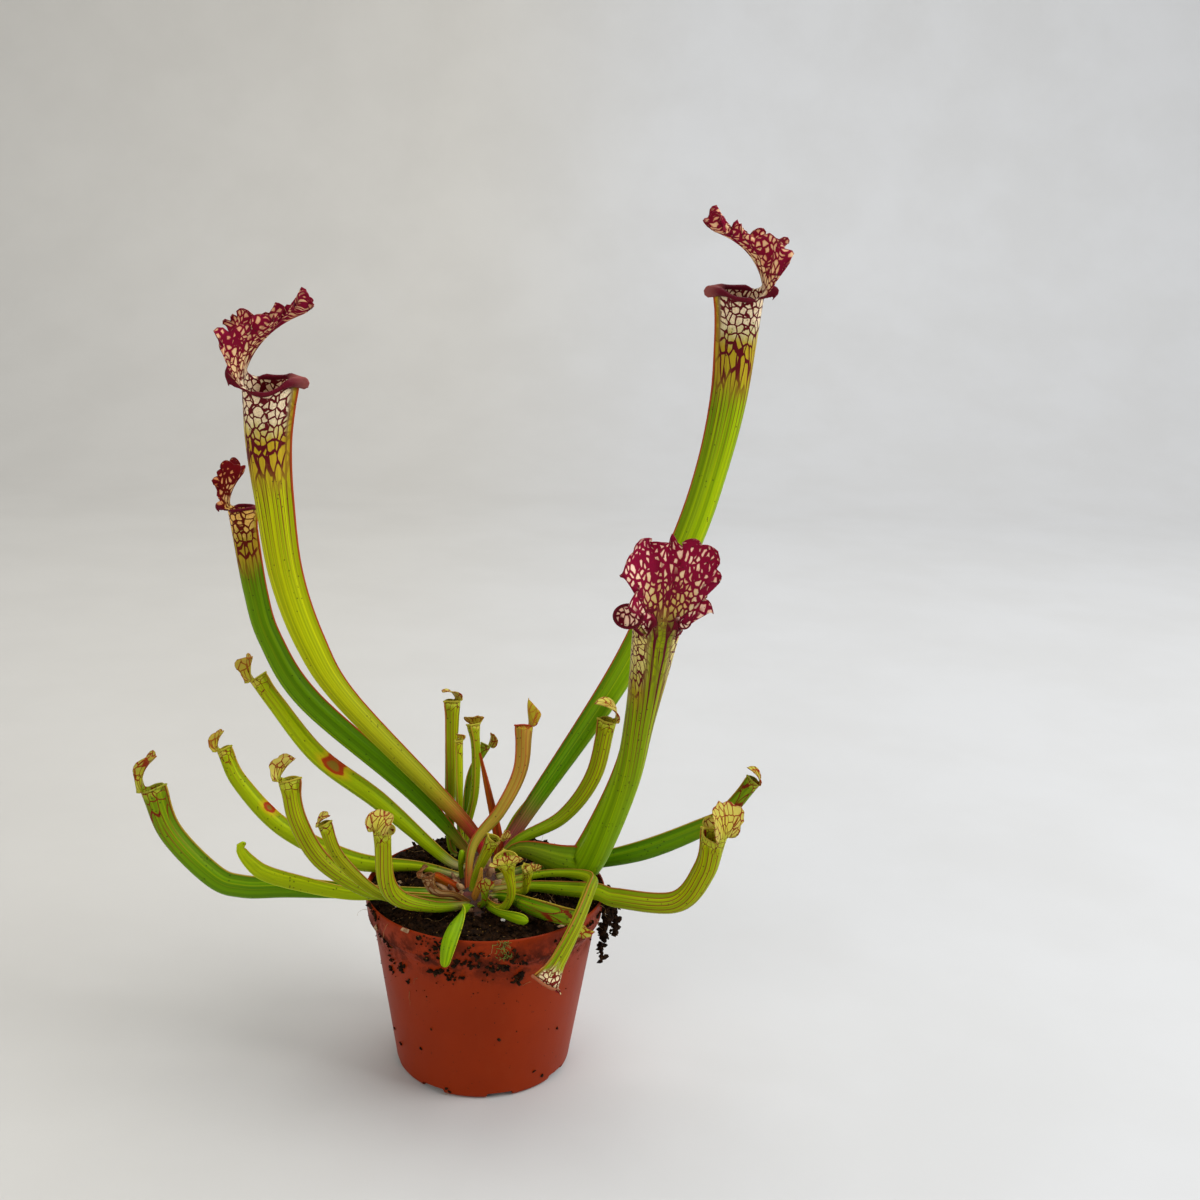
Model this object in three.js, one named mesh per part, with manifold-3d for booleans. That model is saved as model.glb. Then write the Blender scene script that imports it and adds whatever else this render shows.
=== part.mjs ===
// Potted pitcher plant: a plastic nursery pot filled with peat, a rhizome crown at the middle of the
// peat, and the pitcher leaves that grow from it. Millimetres, +Z up, the origin at the centre of the
// pot's underside. X runs to the right of the front view and Y away from it.

import * as THREE from "three";
import { mergeVertices } from "three/addons/utils/BufferGeometryUtils.js";
import Module from "manifold-3d";

const wasm = await Module();
wasm.setup();

// ---------------------------------------------------------------- driving dimensions

const POT_HEIGHT = 93;
const RIM_RADIUS = 60;
const COLLAR_FOOT_RADIUS = 58.4; // lower edge of the upright band under the rim
const COLLAR_FOOT_HEIGHT = 80.5;
const WALL_TOP_RADIUS = 55.4; // where the sloping step meets the wall
const WALL_TOP_HEIGHT = 75.5;
const WALL_FOOT_RADIUS = 44.2;
const BASE_RADIUS = 41.5;
const BASE_ROUND = 3;
const WALL = 1.3;
const FLOOR = 1.8;
const POT_SIDES = 48;

const DRAIN_SLOTS = 8;
const DRAIN_WIDTH = 13;
const DRAIN_HEIGHT = 3;
const DRAIN_DEPTH = 7;

const SOIL_EDGE_HEIGHT = 90;
const SOIL_SLOPE_BACK = 3.5; // rise of the peat from the middle to the back wall
const SOIL_MOUND = 2.2;
const SOIL_LUMP = 1.1;

const GAP = 0.3; // between pieces that touch
const STUB_LENGTH = 15; // foot of each leaf that stays part of the crown
const KEEL_EDGE = 0.8; // thickness of the wing along the front of a leaf
const KEEL_INSIDE = 0.15; // half the flat inside the wing, as a share of the cup's half width
const CUP_WALL = 1;
const LIP_LOBE = 0.8; // how much further the lip rolls out beside the hood's neck
const HOOD_THICKNESS = 0.9;
const BLUNT_TIP = 0.6; // length of the cap that closes a plain leaf
const MIN_ROW = 2.5; // shortest step between the first or last ring and the next

// Rhizome lumps: centre x, y, z and half sizes.
const CROWN_LUMPS = [
  [-4, -18, 87, 15, 16, 11.5],
  [-4, 3, 86.5, 15.5, 15, 12],
  [-3, 19, 87, 15.5, 18, 12],
];

// ---------------------------------------------------------------- leaves
// stations: points of the centreline from the crown to the mouth, x, y, z and half the depth there.
// back: compass angle that the leaf's back faces, in degrees from +X, at the foot and at the mouth.
// wells: depths of the cup's inner rings below the mouth, as shares of the leaf's length.
// hood: length, half width, lean at its root and at its tip, fold of its sides, all in mm and degrees.

const TALL_LEAVES = [
  {
    name: "pitcher_tall_left",
    stations: [
      [0, 22, 95, 3], [-10, 23, 112, 3.5], [-31, 21, 136, 4.6], [-73, 17, 183, 6], [-89, 14, 212, 7.4],
      [-99, 10, 246, 8.2], [-103, 6, 283, 9.2], [-104, 1, 312, 10.8], [-101, -7, 337, 12.6],
    ],
    back: [188, 182],
    hood: { length: 50, half: 24, lean: [12, 62], fold: 64, ruffle: 2.6 },
    noseRise: 5.5,
    colour: 0x9fae2c,
  },
  {
    name: "pitcher_rear_left",
    stations: [
      [-9, 20, 95, 2.5], [-14, 24, 102, 2.6], [-42, 25, 133, 5], [-92, 25, 178, 6.2],
      [-111, 25, 209, 6], [-118, 25, 234, 6], [-123, 22, 275, 6.6],
    ],
    back: [180, 178],
    hood: { length: 22, half: 13, lean: [10, 62], fold: 60, ruffle: 1.6 },
    wells: [0.02, 0.06, 0.12],
    colour: 0x5f9326,
  },
  {
    name: "pitcher_tall_right",
    stations: [
      [4, 26, 95, 3], [20, 28, 123, 4.3], [59, 32, 187, 6.6], [77, 34, 224, 7.2], [95, 37, 267, 7.8],
      [105, 40, 302, 8], [111, 42, 334, 9], [113, 42, 363, 10.4], [113, 36, 384, 11.8],
    ],
    back: [6, 0],
    hood: { length: 46, half: 23, lean: [12, 68], fold: 64, ruffle: 2.4 },
    wells: [0.02, 0.06, 0.12],
    colour: 0x8fae2c,
  },
  {
    name: "pitcher_broad_front",
    stations: [
      [4, 11, 95, 2.2], [16, 12, 107, 4], [42, 2, 106, 8.6], [51, -2, 111, 9], [66, -17, 157, 8.2],
      [72, -30, 196, 9], [77, -47, 244, 13.4],
    ],
    back: [-13, -80],
    hood: { length: 43, half: 24, lean: [4, 34], fold: 20, ruffle: 3 },
    widest: 0.48,
    taper: 0.05,
    colour: 0x7ea32a,
  },
];

const SMALL_LEAVES = [
  {
    name: "pitcher_leaning_left",
    stations: [[-12, 13, 95, 2.4], [-23, 14, 100.5, 3], [-56, 20, 127, 5], [-88, 26, 148, 5.2],
      [-111, 32, 174, 4.8], [-120, 34, 186, 4.6]],
    back: [166, 166],
    hood: { length: 12, half: 5, lean: [25, 80], fold: 35, ruffle: 0.4 },
    colour: 0x8fae2c,
  },
  {
    name: "pitcher_low_left",
    stations: [[-14, 4, 95, 2], [-34, 7, 98, 2.6], [-67, 7, 100, 4.8], [-102, 9, 115, 5],
      [-124, 9, 139, 4.4], [-132, 10, 156, 3.6]],
    back: [176, 176],
    hood: { length: 11, half: 4, lean: [20, 75], fold: 35, ruffle: 0.3 },
    colour: 0x86aa28,
  },
  {
    name: "pitcher_spread_left",
    stations: [[-11, -11, 93, 2.2], [-52, -23, 98, 3.4], [-93, -25, 100, 5.2], [-115, -24, 99, 5.8],
      [-130, -22, 103, 6], [-151, -18, 123, 6], [-159, -17, 145, 6]],
    back: [196, 176],
    hood: { length: 20, half: 6.6, lean: [14, 76], fold: 35, ruffle: 0.5 },
    colour: 0x548325,
  },
  {
    name: "pitcher_upturned_left",
    stations: [[-9, -23, 96, 1.8], [-38, -32, 101, 2], [-53, -38, 106, 3.3], [-74, -39, 121, 4.3],
      [-85, -39, 141, 4.5], [-89, -37, 160, 4.2]],
    back: [197, 178],
    hood: { length: 14, half: 6.5, lean: [25, 115], fold: 15, ruffle: 0.5 },
    colour: 0x7a9a2a,
  },
  {
    name: "pitcher_small_left",
    stations: [[-7, -26, 95, 1.8], [-29, -35, 101, 1.9], [-46, -45, 108, 2.4], [-64, -47, 126, 3],
      [-71, -47, 143, 3]],
    back: [198, 184],
    hood: { length: 7, half: 4, lean: [45, 100], fold: 20, ruffle: 0.3 },
    colour: 0x8aa530,
  },
  {
    name: "pitcher_front_left",
    stations: [[-6, -27, 95, 2], [-23, -40, 100, 2.9], [-40, -51, 113, 4.4], [-42, -60, 147, 4.6]],
    back: [214, 240],
    hood: { length: 16, half: 7.5, lean: [20, 100], fold: 12, ruffle: 0.5 },
    colour: 0x97ab2c,
  },
  {
    name: "pitcher_rear_slim",
    stations: [[-12, 26, 93, 2], [-21.5, 35, 98, 2.6], [-23, 44, 143, 3.9], [-23, 49, 172, 4.3]],
    back: [100, 40],
    hood: { length: 12, half: 4.6, lean: [25, 110], fold: 10, ruffle: 0.4 },
    colour: 0x7f9a2c,
  },
  {
    name: "pitcher_rear_bud",
    stations: [[-12, 25, 94, 1.8], [-16.5, 32.5, 108, 2], [-17.5, 34, 133, 2.6], [-18, 36, 155, 2.3]],
    back: [100, 60],
    hood: { length: 4, half: 2.6, lean: [0, 80], fold: 10, ruffle: 0.1 },
    colour: 0xa3b83a,
  },
  {
    name: "pitcher_rear_mid",
    stations: [[-8, 28, 95, 2], [-14, 35, 102, 2.4], [-10, 41, 124, 2.8], [-10, 46, 145, 3],
      [-12, 50, 159, 3.4]],
    back: [95, 80],
    hood: { length: 6, half: 5, lean: [10, 95], fold: 5, ruffle: 0.4 },
    colour: 0x93a832,
  },
  {
    name: "pitcher_rear_brown",
    stations: [[-7, 32, 95, 2], [-15, 46, 100, 2], [-15, 50, 117, 2.6], [-13, 54, 131, 2.4],
      [-6, 60, 144, 2.6]],
    back: [95, 30],
    hood: { length: 7.5, half: 4.2, lean: [0, 60], fold: 20, ruffle: 0.4 },
    colour: 0x6f8a30,
  },
  {
    name: "pitcher_rear_amber",
    stations: [[-8, -15, 93, 1.8], [-7, 1, 113, 2.8], [5, 16, 126, 3.8], [14, 32, 142, 4.2],
      [15, 46, 160, 4.4]],
    back: [70, 18],
    hood: { length: 16, half: 6, lean: [26, 2], fold: 25, ruffle: 0.1 },
    colour: 0xb08a3c,
  },
  {
    name: "pitcher_striped_right",
    stations: [[3, 17, 96, 2], [15, 19, 109, 2.8], [37, 20.5, 122, 3.7], [52, 20, 145, 4.3],
      [58, 19, 175, 4.4]],
    back: [6, 6],
    hood: { length: 17, half: 6.5, lean: [0, 125], fold: 10, ruffle: 0.4 },
    colour: 0x8a9f2e,
  },
  {
    name: "pitcher_spread_right",
    stations: [[5, 3, 95, 2], [22, 10, 98, 2.5], [42, 15.5, 98, 3.5], [77, 11, 109, 5.2],
      [106, 7, 124, 4.8], [118, 5, 133, 4], [131, 3, 152, 3.5]],
    back: [-2, -4],
    hood: { length: 11, half: 4, lean: [35, 115], fold: 15, ruffle: 0.3 },
    colour: 0x6f9e28,
  },
  {
    name: "pitcher_low_right",
    stations: [[4, -10, 95, 2], [22, -9, 97, 2.7], [40, -12, 98, 3.8], [56, -17, 99.5, 4.4],
      [66, -19, 97.5, 5], [94, -27, 100.5, 5.3], [106, -31, 119, 5.8], [109, -35, 139, 6]],
    back: [-12, -42],
    hood: { length: 20, half: 12, lean: [8, 50], fold: 20, ruffle: 1 },
    colour: 0x6f9a2a,
  },
  {
    name: "pitcher_small_front",
    stations: [[1, -20, 95, 2], [5, -29, 96.5, 2], [11, -33, 97, 2.4], [15, -35, 107, 2.6],
      [12, -38, 125, 4]],
    back: [-70, -80],
    hood: { length: 9, half: 7.4, lean: [-10, 25], fold: 10, ruffle: 0.4 },
    colour: 0xa9ae34,
  },
  {
    name: "pitcher_second_front",
    stations: [[4, -14, 94, 1.5], [14, -18.5, 98.5, 1.8], [20.5, -23.5, 102, 2.2], [22, -25, 114, 2.8]],
    back: [-40, -60],
    hood: { length: 5, half: 4.6, lean: [-10, 25], fold: 10, ruffle: 0.3 },
    colour: 0x9bab34,
  },
  {
    name: "pitcher_front_right",
    stations: [[3, -18, 95, 2], [13, -24, 98, 2.6], [26, -35, 99, 4.4], [40, -43.5, 99.5, 4.4],
      [47, -47, 100, 3.4]],
    back: [-45, -42],
    hood: { length: 8, half: 5, lean: [-30, 10], fold: 30, ruffle: 0.5 },
    colour: 0x4f8a24,
  },
  {
    name: "pitcher_hanging_front",
    stations: [[3, -6, 95, 2], [26, -6, 102, 1.9], [43, -10.5, 105.5, 2.2], [53, -25, 110, 3.1],
      [51.5, -44, 112, 3.5], [46, -58, 102, 3.7], [39.5, -65, 90, 4.2], [33.5, -67.5, 79, 5]],
    back: [-5, -150],
    hood: { length: 6, half: 7, lean: [10, 40], fold: 10, ruffle: 0.5 },
    colour: 0x8fa22e,
  },
  {
    name: "pitcher_curled_centre",
    stations: [[-6, -18, 95, 1.5], [-4.5, -17.5, 104, 1.6], [-1, -19, 113, 2.5], [5, -21, 127, 3.4]],
    back: [-30, -30],
    hood: { length: 7, half: 4.6, lean: [-20, 30], fold: 20, ruffle: 0.4 },
    colour: 0x93a02c,
  },
  {
    name: "pitcher_small_centre",
    stations: [[-2, -26, 94, 1.5], [1.5, -30, 98, 1.6], [2, -31, 106, 2.6]],
    back: [-60, -80],
    hood: { length: 5.5, half: 4, lean: [0, 30], fold: 10, ruffle: 0.3 },
    colour: 0x8aa830,
    stub: 6,
  },
  {
    name: "pitcher_dry_tan",
    stations: [[-6, -26, 95.5, 1.5], [-13, -30, 101.5, 1.6], [-19, -33.5, 103.5, 1.8],
      [-23, -35, 107, 2.4], [-25, -35, 113, 3]],
    back: [190, 170],
    hood: { length: 6, half: 4, lean: [10, 95], fold: 20, ruffle: 0.6 },
    colour: 0xb08a5a,
    stub: 12,
  },
];

// Leaves with no open pitcher. flat is the ratio of their width to their depth.
const PLAIN_LEAVES = [
  {
    name: "leaf_hooked_left",
    stations: [[-11, -19, 94, 2], [-39, -26.5, 98.5, 2], [-62, -32, 101, 3.2], [-86, -34, 106.5, 4],
      [-101.5, -36, 112, 4.1], [-109, -36, 118, 3.4], [-113, -36, 124.5, 2.2],
      [-110.5, -36, 127.5, 1]],
    back: [195, 178],
    flat: 0.6,
    colour: 0x93ae2c,
  },
  {
    name: "leaf_pale_rear",
    stations: [[3, 27, 94, 2], [14, 39, 112, 4.5], [34, 47, 136, 3.6], [43, 52, 149, 1]],
    back: [40, 40],
    flat: 0.3,
    colour: 0x8fc06a,
  },
  {
    name: "leaf_paddle_front",
    stations: [[-4, -26, 94, 1.5], [-6, -38, 99.5, 2], [-9, -54, 98.5, 3.4], [-11.5, -64, 93, 3.6],
      [-13, -68, 84, 2]],
    back: [-15, -15],
    flat: 0.35,
    colour: 0x4f8a24,
  },
  {
    name: "leaf_blunt_front",
    stations: [[1, -24, 94, 1.6], [9, -36, 96, 1.8], [19, -45, 98, 2.8], [24, -48, 98.5, 2]],
    back: [-50, -50],
    flat: 0.6,
    colour: 0x93a832,
  },
  {
    name: "leaf_bud_lime",
    stations: [[-12, 0, 95, 1.2], [-12.5, -2, 103, 1.3], [-12, -2, 108, 1.8], [-12, -2, 112, 1.2]],
    back: [180, 180],
    flat: 0.9,
    stub: 7,
    colour: 0x9fc23a,
  },
  {
    name: "leaf_dry_orange",
    stations: [[-5, -23, 94, 2.2], [-1.5, -25, 104, 2.4], [0, -25.5, 114, 1]],
    back: [-60, -60],
    flat: 0.5,
    stub: 8,
    colour: 0xb07a2c,
  },
  {
    name: "leaf_stub_red",
    stations: [[-9, -15, 95, 2], [-17, -14, 99.5, 2.1], [-25, -12, 103, 2]],
    back: [170, 170],
    flat: 0.7,
    stub: 9,
    colour: 0xa02a20,
  },
  {
    name: "leaf_spikes_red",
    stations: [[4, 22, 96, 1.8], [4, 26.5, 106, 2.2], [-2, 30, 131, 1.5], [-7, 34, 150, 0.5]],
    back: [110, 110],
    flat: 0.7,
    colour: 0x8f2a22,
  },
];

// ---------------------------------------------------------------- small helpers

const radians = THREE.MathUtils.degToRad;
const lerp = THREE.MathUtils.lerp;
const smoothstep = THREE.MathUtils.smoothstep;

/** Closed skin made of rings, strips and poles, with every face pointing out. */
class Skin {
  constructor() {
    this.points = [];
    this.faces = [];
  }

  ring(points) {
    return points.map((point) => this.points.push(point) - 1);
  }

  quad(a, b, c, d) {
    this.faces.push([a, b, c], [a, c, d]);
  }

  /** The same quad seen from behind, split along the same diagonal. */
  quadBehind(a, b, c, d) {
    this.faces.push([a, c, b], [a, d, c]);
  }

  /** Joins two rings of equal count. skip tells which columns stay open. */
  strip(lower, upper, skip = () => false) {
    lower.forEach((corner, i) => {
      const next = (i + 1) % lower.length;
      if (!skip(i)) this.quad(corner, lower[next], upper[next], upper[i]);
    });
  }

  startPole(ring, point) {
    const pole = this.points.push(point) - 1;
    ring.forEach((corner, i) => this.faces.push([pole, ring[(i + 1) % ring.length], corner]));
  }

  endPole(ring, point) {
    const pole = this.points.push(point) - 1;
    ring.forEach((corner, i) => this.faces.push([pole, corner, ring[(i + 1) % ring.length]]));
  }

  geometry() {
    const geometry = new THREE.BufferGeometry();
    const coordinates = this.points.flatMap((point) => point.toArray());
    geometry.setAttribute("position", new THREE.Float32BufferAttribute(coordinates, 3));
    geometry.setIndex(this.faces.flat());
    geometry.computeVertexNormals();
    return geometry;
  }
}

/** manifold-3d solid of a closed geometry. */
function solidOf(geometry) {
  const bare = geometry.clone();
  bare.deleteAttribute("normal");
  bare.deleteAttribute("uv");
  const merged = mergeVertices(bare, 1e-4);
  return new wasm.Manifold(new wasm.Mesh({
    numProp: 3,
    vertProperties: new Float32Array(merged.attributes.position.array),
    triVerts: new Uint32Array(merged.index.array),
  }));
}

/** three.js geometry of a manifold-3d solid. */
function geometryOf(solid) {
  const mesh = solid.getMesh();
  const geometry = new THREE.BufferGeometry();
  geometry.setAttribute("position", new THREE.Float32BufferAttribute(mesh.vertProperties, 3));
  geometry.setIndex([...mesh.triVerts]);
  geometry.computeVertexNormals();
  return geometry;
}

function named(name, geometry, colour, roughness) {
  const material = new THREE.MeshStandardMaterial({ color: colour, roughness, metalness: 0 });
  const mesh = new THREE.Mesh(geometry, material);
  mesh.name = name;
  return mesh;
}

// ---------------------------------------------------------------- the run of a leaf

/** Adds the centreline and the depth curve to a leaf's own values. */
function withLine(leaf, defaults) {
  const line = new THREE.CatmullRomCurve3(
    leaf.stations.map(([x, y, z]) => new THREE.Vector3(x, y, z)), false, "catmullrom");
  const depth = new THREE.CatmullRomCurve3(
    leaf.stations.map((station) => new THREE.Vector3(station[3], 0, 0)), false, "catmullrom");
  return { ...defaults, ...leaf, line, depth, long: line.getLength() };
}

/** Axes of the leaf at a share u of its length: along, across and out through its back. */
function frameAt(leaf, u) {
  const t = leaf.line.getUtoTmapping(u);
  const along = leaf.line.getTangent(t);
  const facing = radians(lerp(leaf.back[0], leaf.back[1], u));
  const across = new THREE.Vector3(-Math.sin(facing), Math.cos(facing), 0);
  across.addScaledVector(along, -across.dot(along)).normalize();
  return {
    centre: leaf.line.getPoint(t),
    along,
    across,
    outward: across.clone().cross(along),
    half: leaf.depth.getPoint(t).x,
  };
}

function place(frame, outward, across, along) {
  return frame.centre.clone()
    .addScaledVector(frame.outward, outward)
    .addScaledVector(frame.across, across)
    .addScaledVector(frame.along, along);
}

/** Columns round a leaf: the neck at its back, the two sides, and the wing's edge at its front. */
function columnsOf(neckHalf, neckSteps, sideSteps, keelHalf) {
  const columns = [];
  for (let i = 0; i <= neckSteps; i++) {
    columns.push({ angle: lerp(-neckHalf, neckHalf, i / neckSteps), phi: (2 * i) / neckSteps - 1 });
  }
  for (let i = 1; i <= sideSteps; i++) {
    columns.push({ angle: lerp(neckHalf, Math.PI - keelHalf, i / sideSteps) });
  }
  columns.push({ angle: Math.PI, keel: 1 }, { angle: -Math.PI, keel: -1 });
  for (let i = sideSteps; i >= 1; i--) {
    columns.push({ angle: -lerp(neckHalf, Math.PI - keelHalf, i / sideSteps) });
  }
  return columns;
}

/** Outline point of the leaf's outer skin: an oval with a wing at its front. */
function outerPoint(leaf, frame, column, swell = 0, rise = 0) {
  const { half } = frame;
  if (column.keel) {
    return place(frame, -(half + swell), column.keel * (KEEL_EDGE / 2 + swell), rise);
  }
  const deep = half * (1 - leaf.wing) + swell;
  const wide = half * leaf.flat + swell;
  return place(frame, half * leaf.wing + deep * Math.cos(column.angle),
    wide * Math.sin(column.angle), rise);
}

/** Point of the cup's inner wall, an oval without the wing. */
function innerPoint(leaf, frame, column, rise = 0) {
  const { half } = frame;
  const deep = half * (1 - leaf.wing) - CUP_WALL;
  const wide = half * leaf.flat - CUP_WALL;
  const side = wide * (column.keel ? column.keel * KEEL_INSIDE : Math.sin(column.angle));
  return place(frame, half * leaf.wing + deep * Math.cos(column.angle), side, rise);
}

function stubShare(leaf) {
  return (leaf.stub ?? STUB_LENGTH) / leaf.long;
}

/** Shares of the length at the stations and half way between them, from the stub to the end. */
function rowShares(leaf, end) {
  const start = stubShare(leaf) + GAP / leaf.long;
  const lengths = leaf.line.getLengths();
  const count = 2 * (leaf.stations.length - 1);
  const shares = Array.from({ length: count - 1 }, (_, i) => {
    const t = (i + 1) / count;
    return lengths[Math.round(t * (lengths.length - 1))] / leaf.long;
  });
  const tight = MIN_ROW / leaf.long;
  return [start, ...shares.filter((share) => share > start + tight && share < end - tight), end];
}

/** Outer rings of a leaf at the given shares of its length. */
function outerRings(skin, leaf, columns, shares, swell = 0) {
  const rings = shares.map((share) => {
    const frame = frameAt(leaf, share);
    return skin.ring(columns.map((column) => outerPoint(leaf, frame, column, swell)));
  });
  for (let i = 1; i < rings.length; i++) skin.strip(rings[i - 1], rings[i]);
  return rings;
}

// ---------------------------------------------------------------- hood

/** Middle of the hood's blade. phi runs over its neck from -1 to 1, f from the neck to the edge. */
function hoodMiddle(leaf, frame, phi, f) {
  const { length, half, lean, fold, ruffle } = leaf.hood;
  const neckAngle = phi * leaf.neckHalf;
  const neckOut = frame.half * (1 - leaf.wing) - CUP_WALL / 2;
  const neckWide = frame.half * leaf.flat - CUP_WALL / 2;
  const sweep = phi * leaf.hoodSweep;
  const middle = leaf.widest * length;
  const edgeAcross = half * Math.sin(sweep) * (1 - leaf.taper * Math.max(0, Math.cos(sweep)));
  const edgeAlong = Math.cos(sweep) > 0
    ? middle + (length - middle) * Math.cos(sweep)
    : middle * (1 + 0.85 * Math.cos(sweep));
  const across = lerp(neckWide * Math.sin(neckAngle), edgeAcross, f ** 1.3);
  const along = edgeAlong * f;

  // The midline is an arc that leans from lean[0] to lean[1] over the mouth.
  const lean0 = radians(lean[0]);
  const turn = radians(lean[1] - lean[0]) / length;
  const angle = lean0 + turn * along;
  const up = (Math.sin(angle) - Math.sin(lean0)) / turn;
  const forward = (Math.cos(lean0) - Math.cos(angle)) / turn;

  // The sides fold up from the midline, and their edge waves.
  const foldHere = radians(fold) * smoothstep(along, 0, 0.4 * length);
  const soft = 0.15 * half;
  const lift = (Math.hypot(across, soft) - soft) * Math.sin(foldHere)
    + ruffle * f * f * Math.sin(leaf.waves * sweep);
  const curve = neckOut * (Math.cos(neckAngle) - 1) * (1 - f) ** 2;
  return place(
    frame,
    frame.half * leaf.wing + neckOut + curve - forward + lift * Math.cos(angle),
    across * Math.cos(foldHere),
    leaf.lipHeight + up + lift * Math.sin(angle),
  );
}

/** Hood blade grown out of the open strip between two lip rings. */
function addHood(skin, leaf, frame, outerRoot, innerRoot, steps) {
  const rows = [{ outer: outerRoot, inner: innerRoot }];
  const last = outerRoot.length - 1;
  const small = 1e-3;
  const rootNormals = outerRoot.map((corner, j) => (
    skin.points[corner].clone().sub(skin.points[innerRoot[j]]).normalize()));
  for (let k = 1; k <= steps; k++) {
    const f = k / steps;
    const row = { outer: [], inner: [] };
    for (let j = 0; j <= last; j++) {
      const phi = (2 * j) / last - 1;
      const middle = hoodMiddle(leaf, frame, phi, f);
      const alongRow = hoodMiddle(leaf, frame, phi + small, f)
        .sub(hoodMiddle(leaf, frame, phi - small, f));
      const upRow = hoodMiddle(leaf, frame, phi, f + small).sub(hoodMiddle(leaf, frame, phi, f - small));
      const normal = alongRow.cross(upRow).normalize()
        .addScaledVector(rootNormals[j], (1 - f) ** 2).normalize();
      const [outer] = skin.ring([middle.clone().addScaledVector(normal, HOOD_THICKNESS / 2)]);
      const [inner] = skin.ring([middle.clone().addScaledVector(normal, -HOOD_THICKNESS / 2)]);
      row.outer.push(outer);
      row.inner.push(inner);
    }
    rows.push(row);
  }
  for (let k = 0; k < steps; k++) {
    const { outer, inner } = rows[k];
    const above = rows[k + 1];
    for (let j = 0; j < last; j++) {
      skin.quad(outer[j], outer[j + 1], above.outer[j + 1], above.outer[j]);
      skin.quadBehind(inner[j], inner[j + 1], above.inner[j + 1], above.inner[j]);
    }
    skin.quad(outer[0], above.outer[0], above.inner[0], inner[0]);
    skin.quad(outer[last], inner[last], above.inner[last], above.outer[last]);
  }
  const top = rows[steps];
  for (let j = 0; j < last; j++) {
    skin.quad(top.outer[j], top.outer[j + 1], top.inner[j + 1], top.inner[j]);
  }
}

// ---------------------------------------------------------------- whole leaves

/** Pitcher: tapering stalk, open tube with a rolled lip, and the hood over its back. */
function pitcher(leaf) {
  const skin = new Skin();
  const columns = columnsOf(leaf.neckHalf, leaf.neckSteps, leaf.sideSteps, radians(20));
  const shares = rowShares(leaf, 1);
  const rings = outerRings(skin, leaf, columns, shares);
  skin.startPole(rings[0], frameAt(leaf, shares[0]).centre);

  const mouth = frameAt(leaf, 1);
  const rollAt = (column) => {
    const past = Math.abs(column.angle) - leaf.neckHalf;
    const lobe = 1 - smoothstep(past, radians(20), radians(75));
    return leaf.lip * smoothstep(past, 0, radians(25)) * (1 + LIP_LOBE * lobe);
  };
  const drawNose = (point, column) => {
    const share = Math.max(0, -Math.cos(column.angle));
    return point.addScaledVector(mouth.outward, -leaf.nose * share ** 3)
      .addScaledVector(mouth.along, leaf.noseRise * share ** 2);
  };
  const lipRing = (share, height) => skin.ring(columns.map((column) => {
    const roll = rollAt(column);
    const rise = leaf.lipHeight * height + 0.3 * roll;
    return drawNose(outerPoint(leaf, mouth, column, share * roll, rise), column);
  }));
  const rollOut = lipRing(1, 0.4);
  const rollTop = lipRing(0.55, 1);
  const rollIn = skin.ring(columns.map((column) => {
    const rise = leaf.lipHeight + 0.3 * rollAt(column);
    return drawNose(innerPoint(leaf, mouth, column, rise), column);
  }));
  const isNeck = (i) => i < leaf.neckSteps;
  skin.strip(rings.at(-1), rollOut);
  skin.strip(rollOut, rollTop);
  skin.strip(rollTop, rollIn, isNeck);
  const neck = (ring) => ring.slice(0, leaf.neckSteps + 1);
  addHood(skin, leaf, mouth, neck(rollTop), neck(rollIn), leaf.hoodSteps);

  let above = rollIn;
  for (const share of leaf.wells) {
    const frame = frameAt(leaf, 1 - share);
    const ring = skin.ring(columns.map((column) => innerPoint(leaf, frame, column)));
    skin.strip(above, ring);
    above = ring;
  }
  skin.endPole(above, frameAt(leaf, 1 - leaf.wells.at(-1) - 2 / leaf.long).centre);
  return skin;
}

/** Leaf that closes to a blunt tip. */
function plainLeaf(leaf) {
  const skin = new Skin();
  const columns = columnsOf(leaf.neckHalf, 2, 2, radians(20));
  const shares = rowShares(leaf, 1 - BLUNT_TIP / leaf.long);
  const rings = outerRings(skin, leaf, columns, shares);
  skin.startPole(rings[0], frameAt(leaf, shares[0]).centre);
  skin.endPole(rings.at(-1), frameAt(leaf, 1).centre);
  return skin;
}

/** Foot of a leaf, which the crown keeps. */
function stub(leaf, swell) {
  const skin = new Skin();
  const columns = columnsOf(leaf.neckHalf, 2, 1, radians(30));
  const end = stubShare(leaf);
  const rings = outerRings(skin, leaf, columns, [0, end / 2, end], swell);
  skin.startPole(rings[0], place(frameAt(leaf, 0), 0, 0, -swell));
  skin.endPole(rings.at(-1), place(frameAt(leaf, end), 0, 0, swell));
  return skin;
}

const TALL_FORM = {
  wing: 0.16, flat: 0.78, neckHalf: radians(58), neckSteps: 14, sideSteps: 3,
  lip: 2.2, lipHeight: 1.6, nose: 3.5, noseRise: 0, wells: [0.05, 0.12], hoodSweep: radians(140),
  hoodSteps: 5, waves: 7, widest: 0.34, taper: 0.4,
};
const SMALL_FORM = {
  wing: 0.14, flat: 0.8, neckHalf: radians(55), neckSteps: 4, sideSteps: 2,
  lip: 0.7, lipHeight: 0.8, nose: 0.6, noseRise: 0, wells: [0.12], hoodSweep: radians(122),
  hoodSteps: 3, waves: 3, widest: 0.46, taper: 0.15,
};
const PLAIN_FORM = { wing: 0.1, neckHalf: radians(50) };

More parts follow.
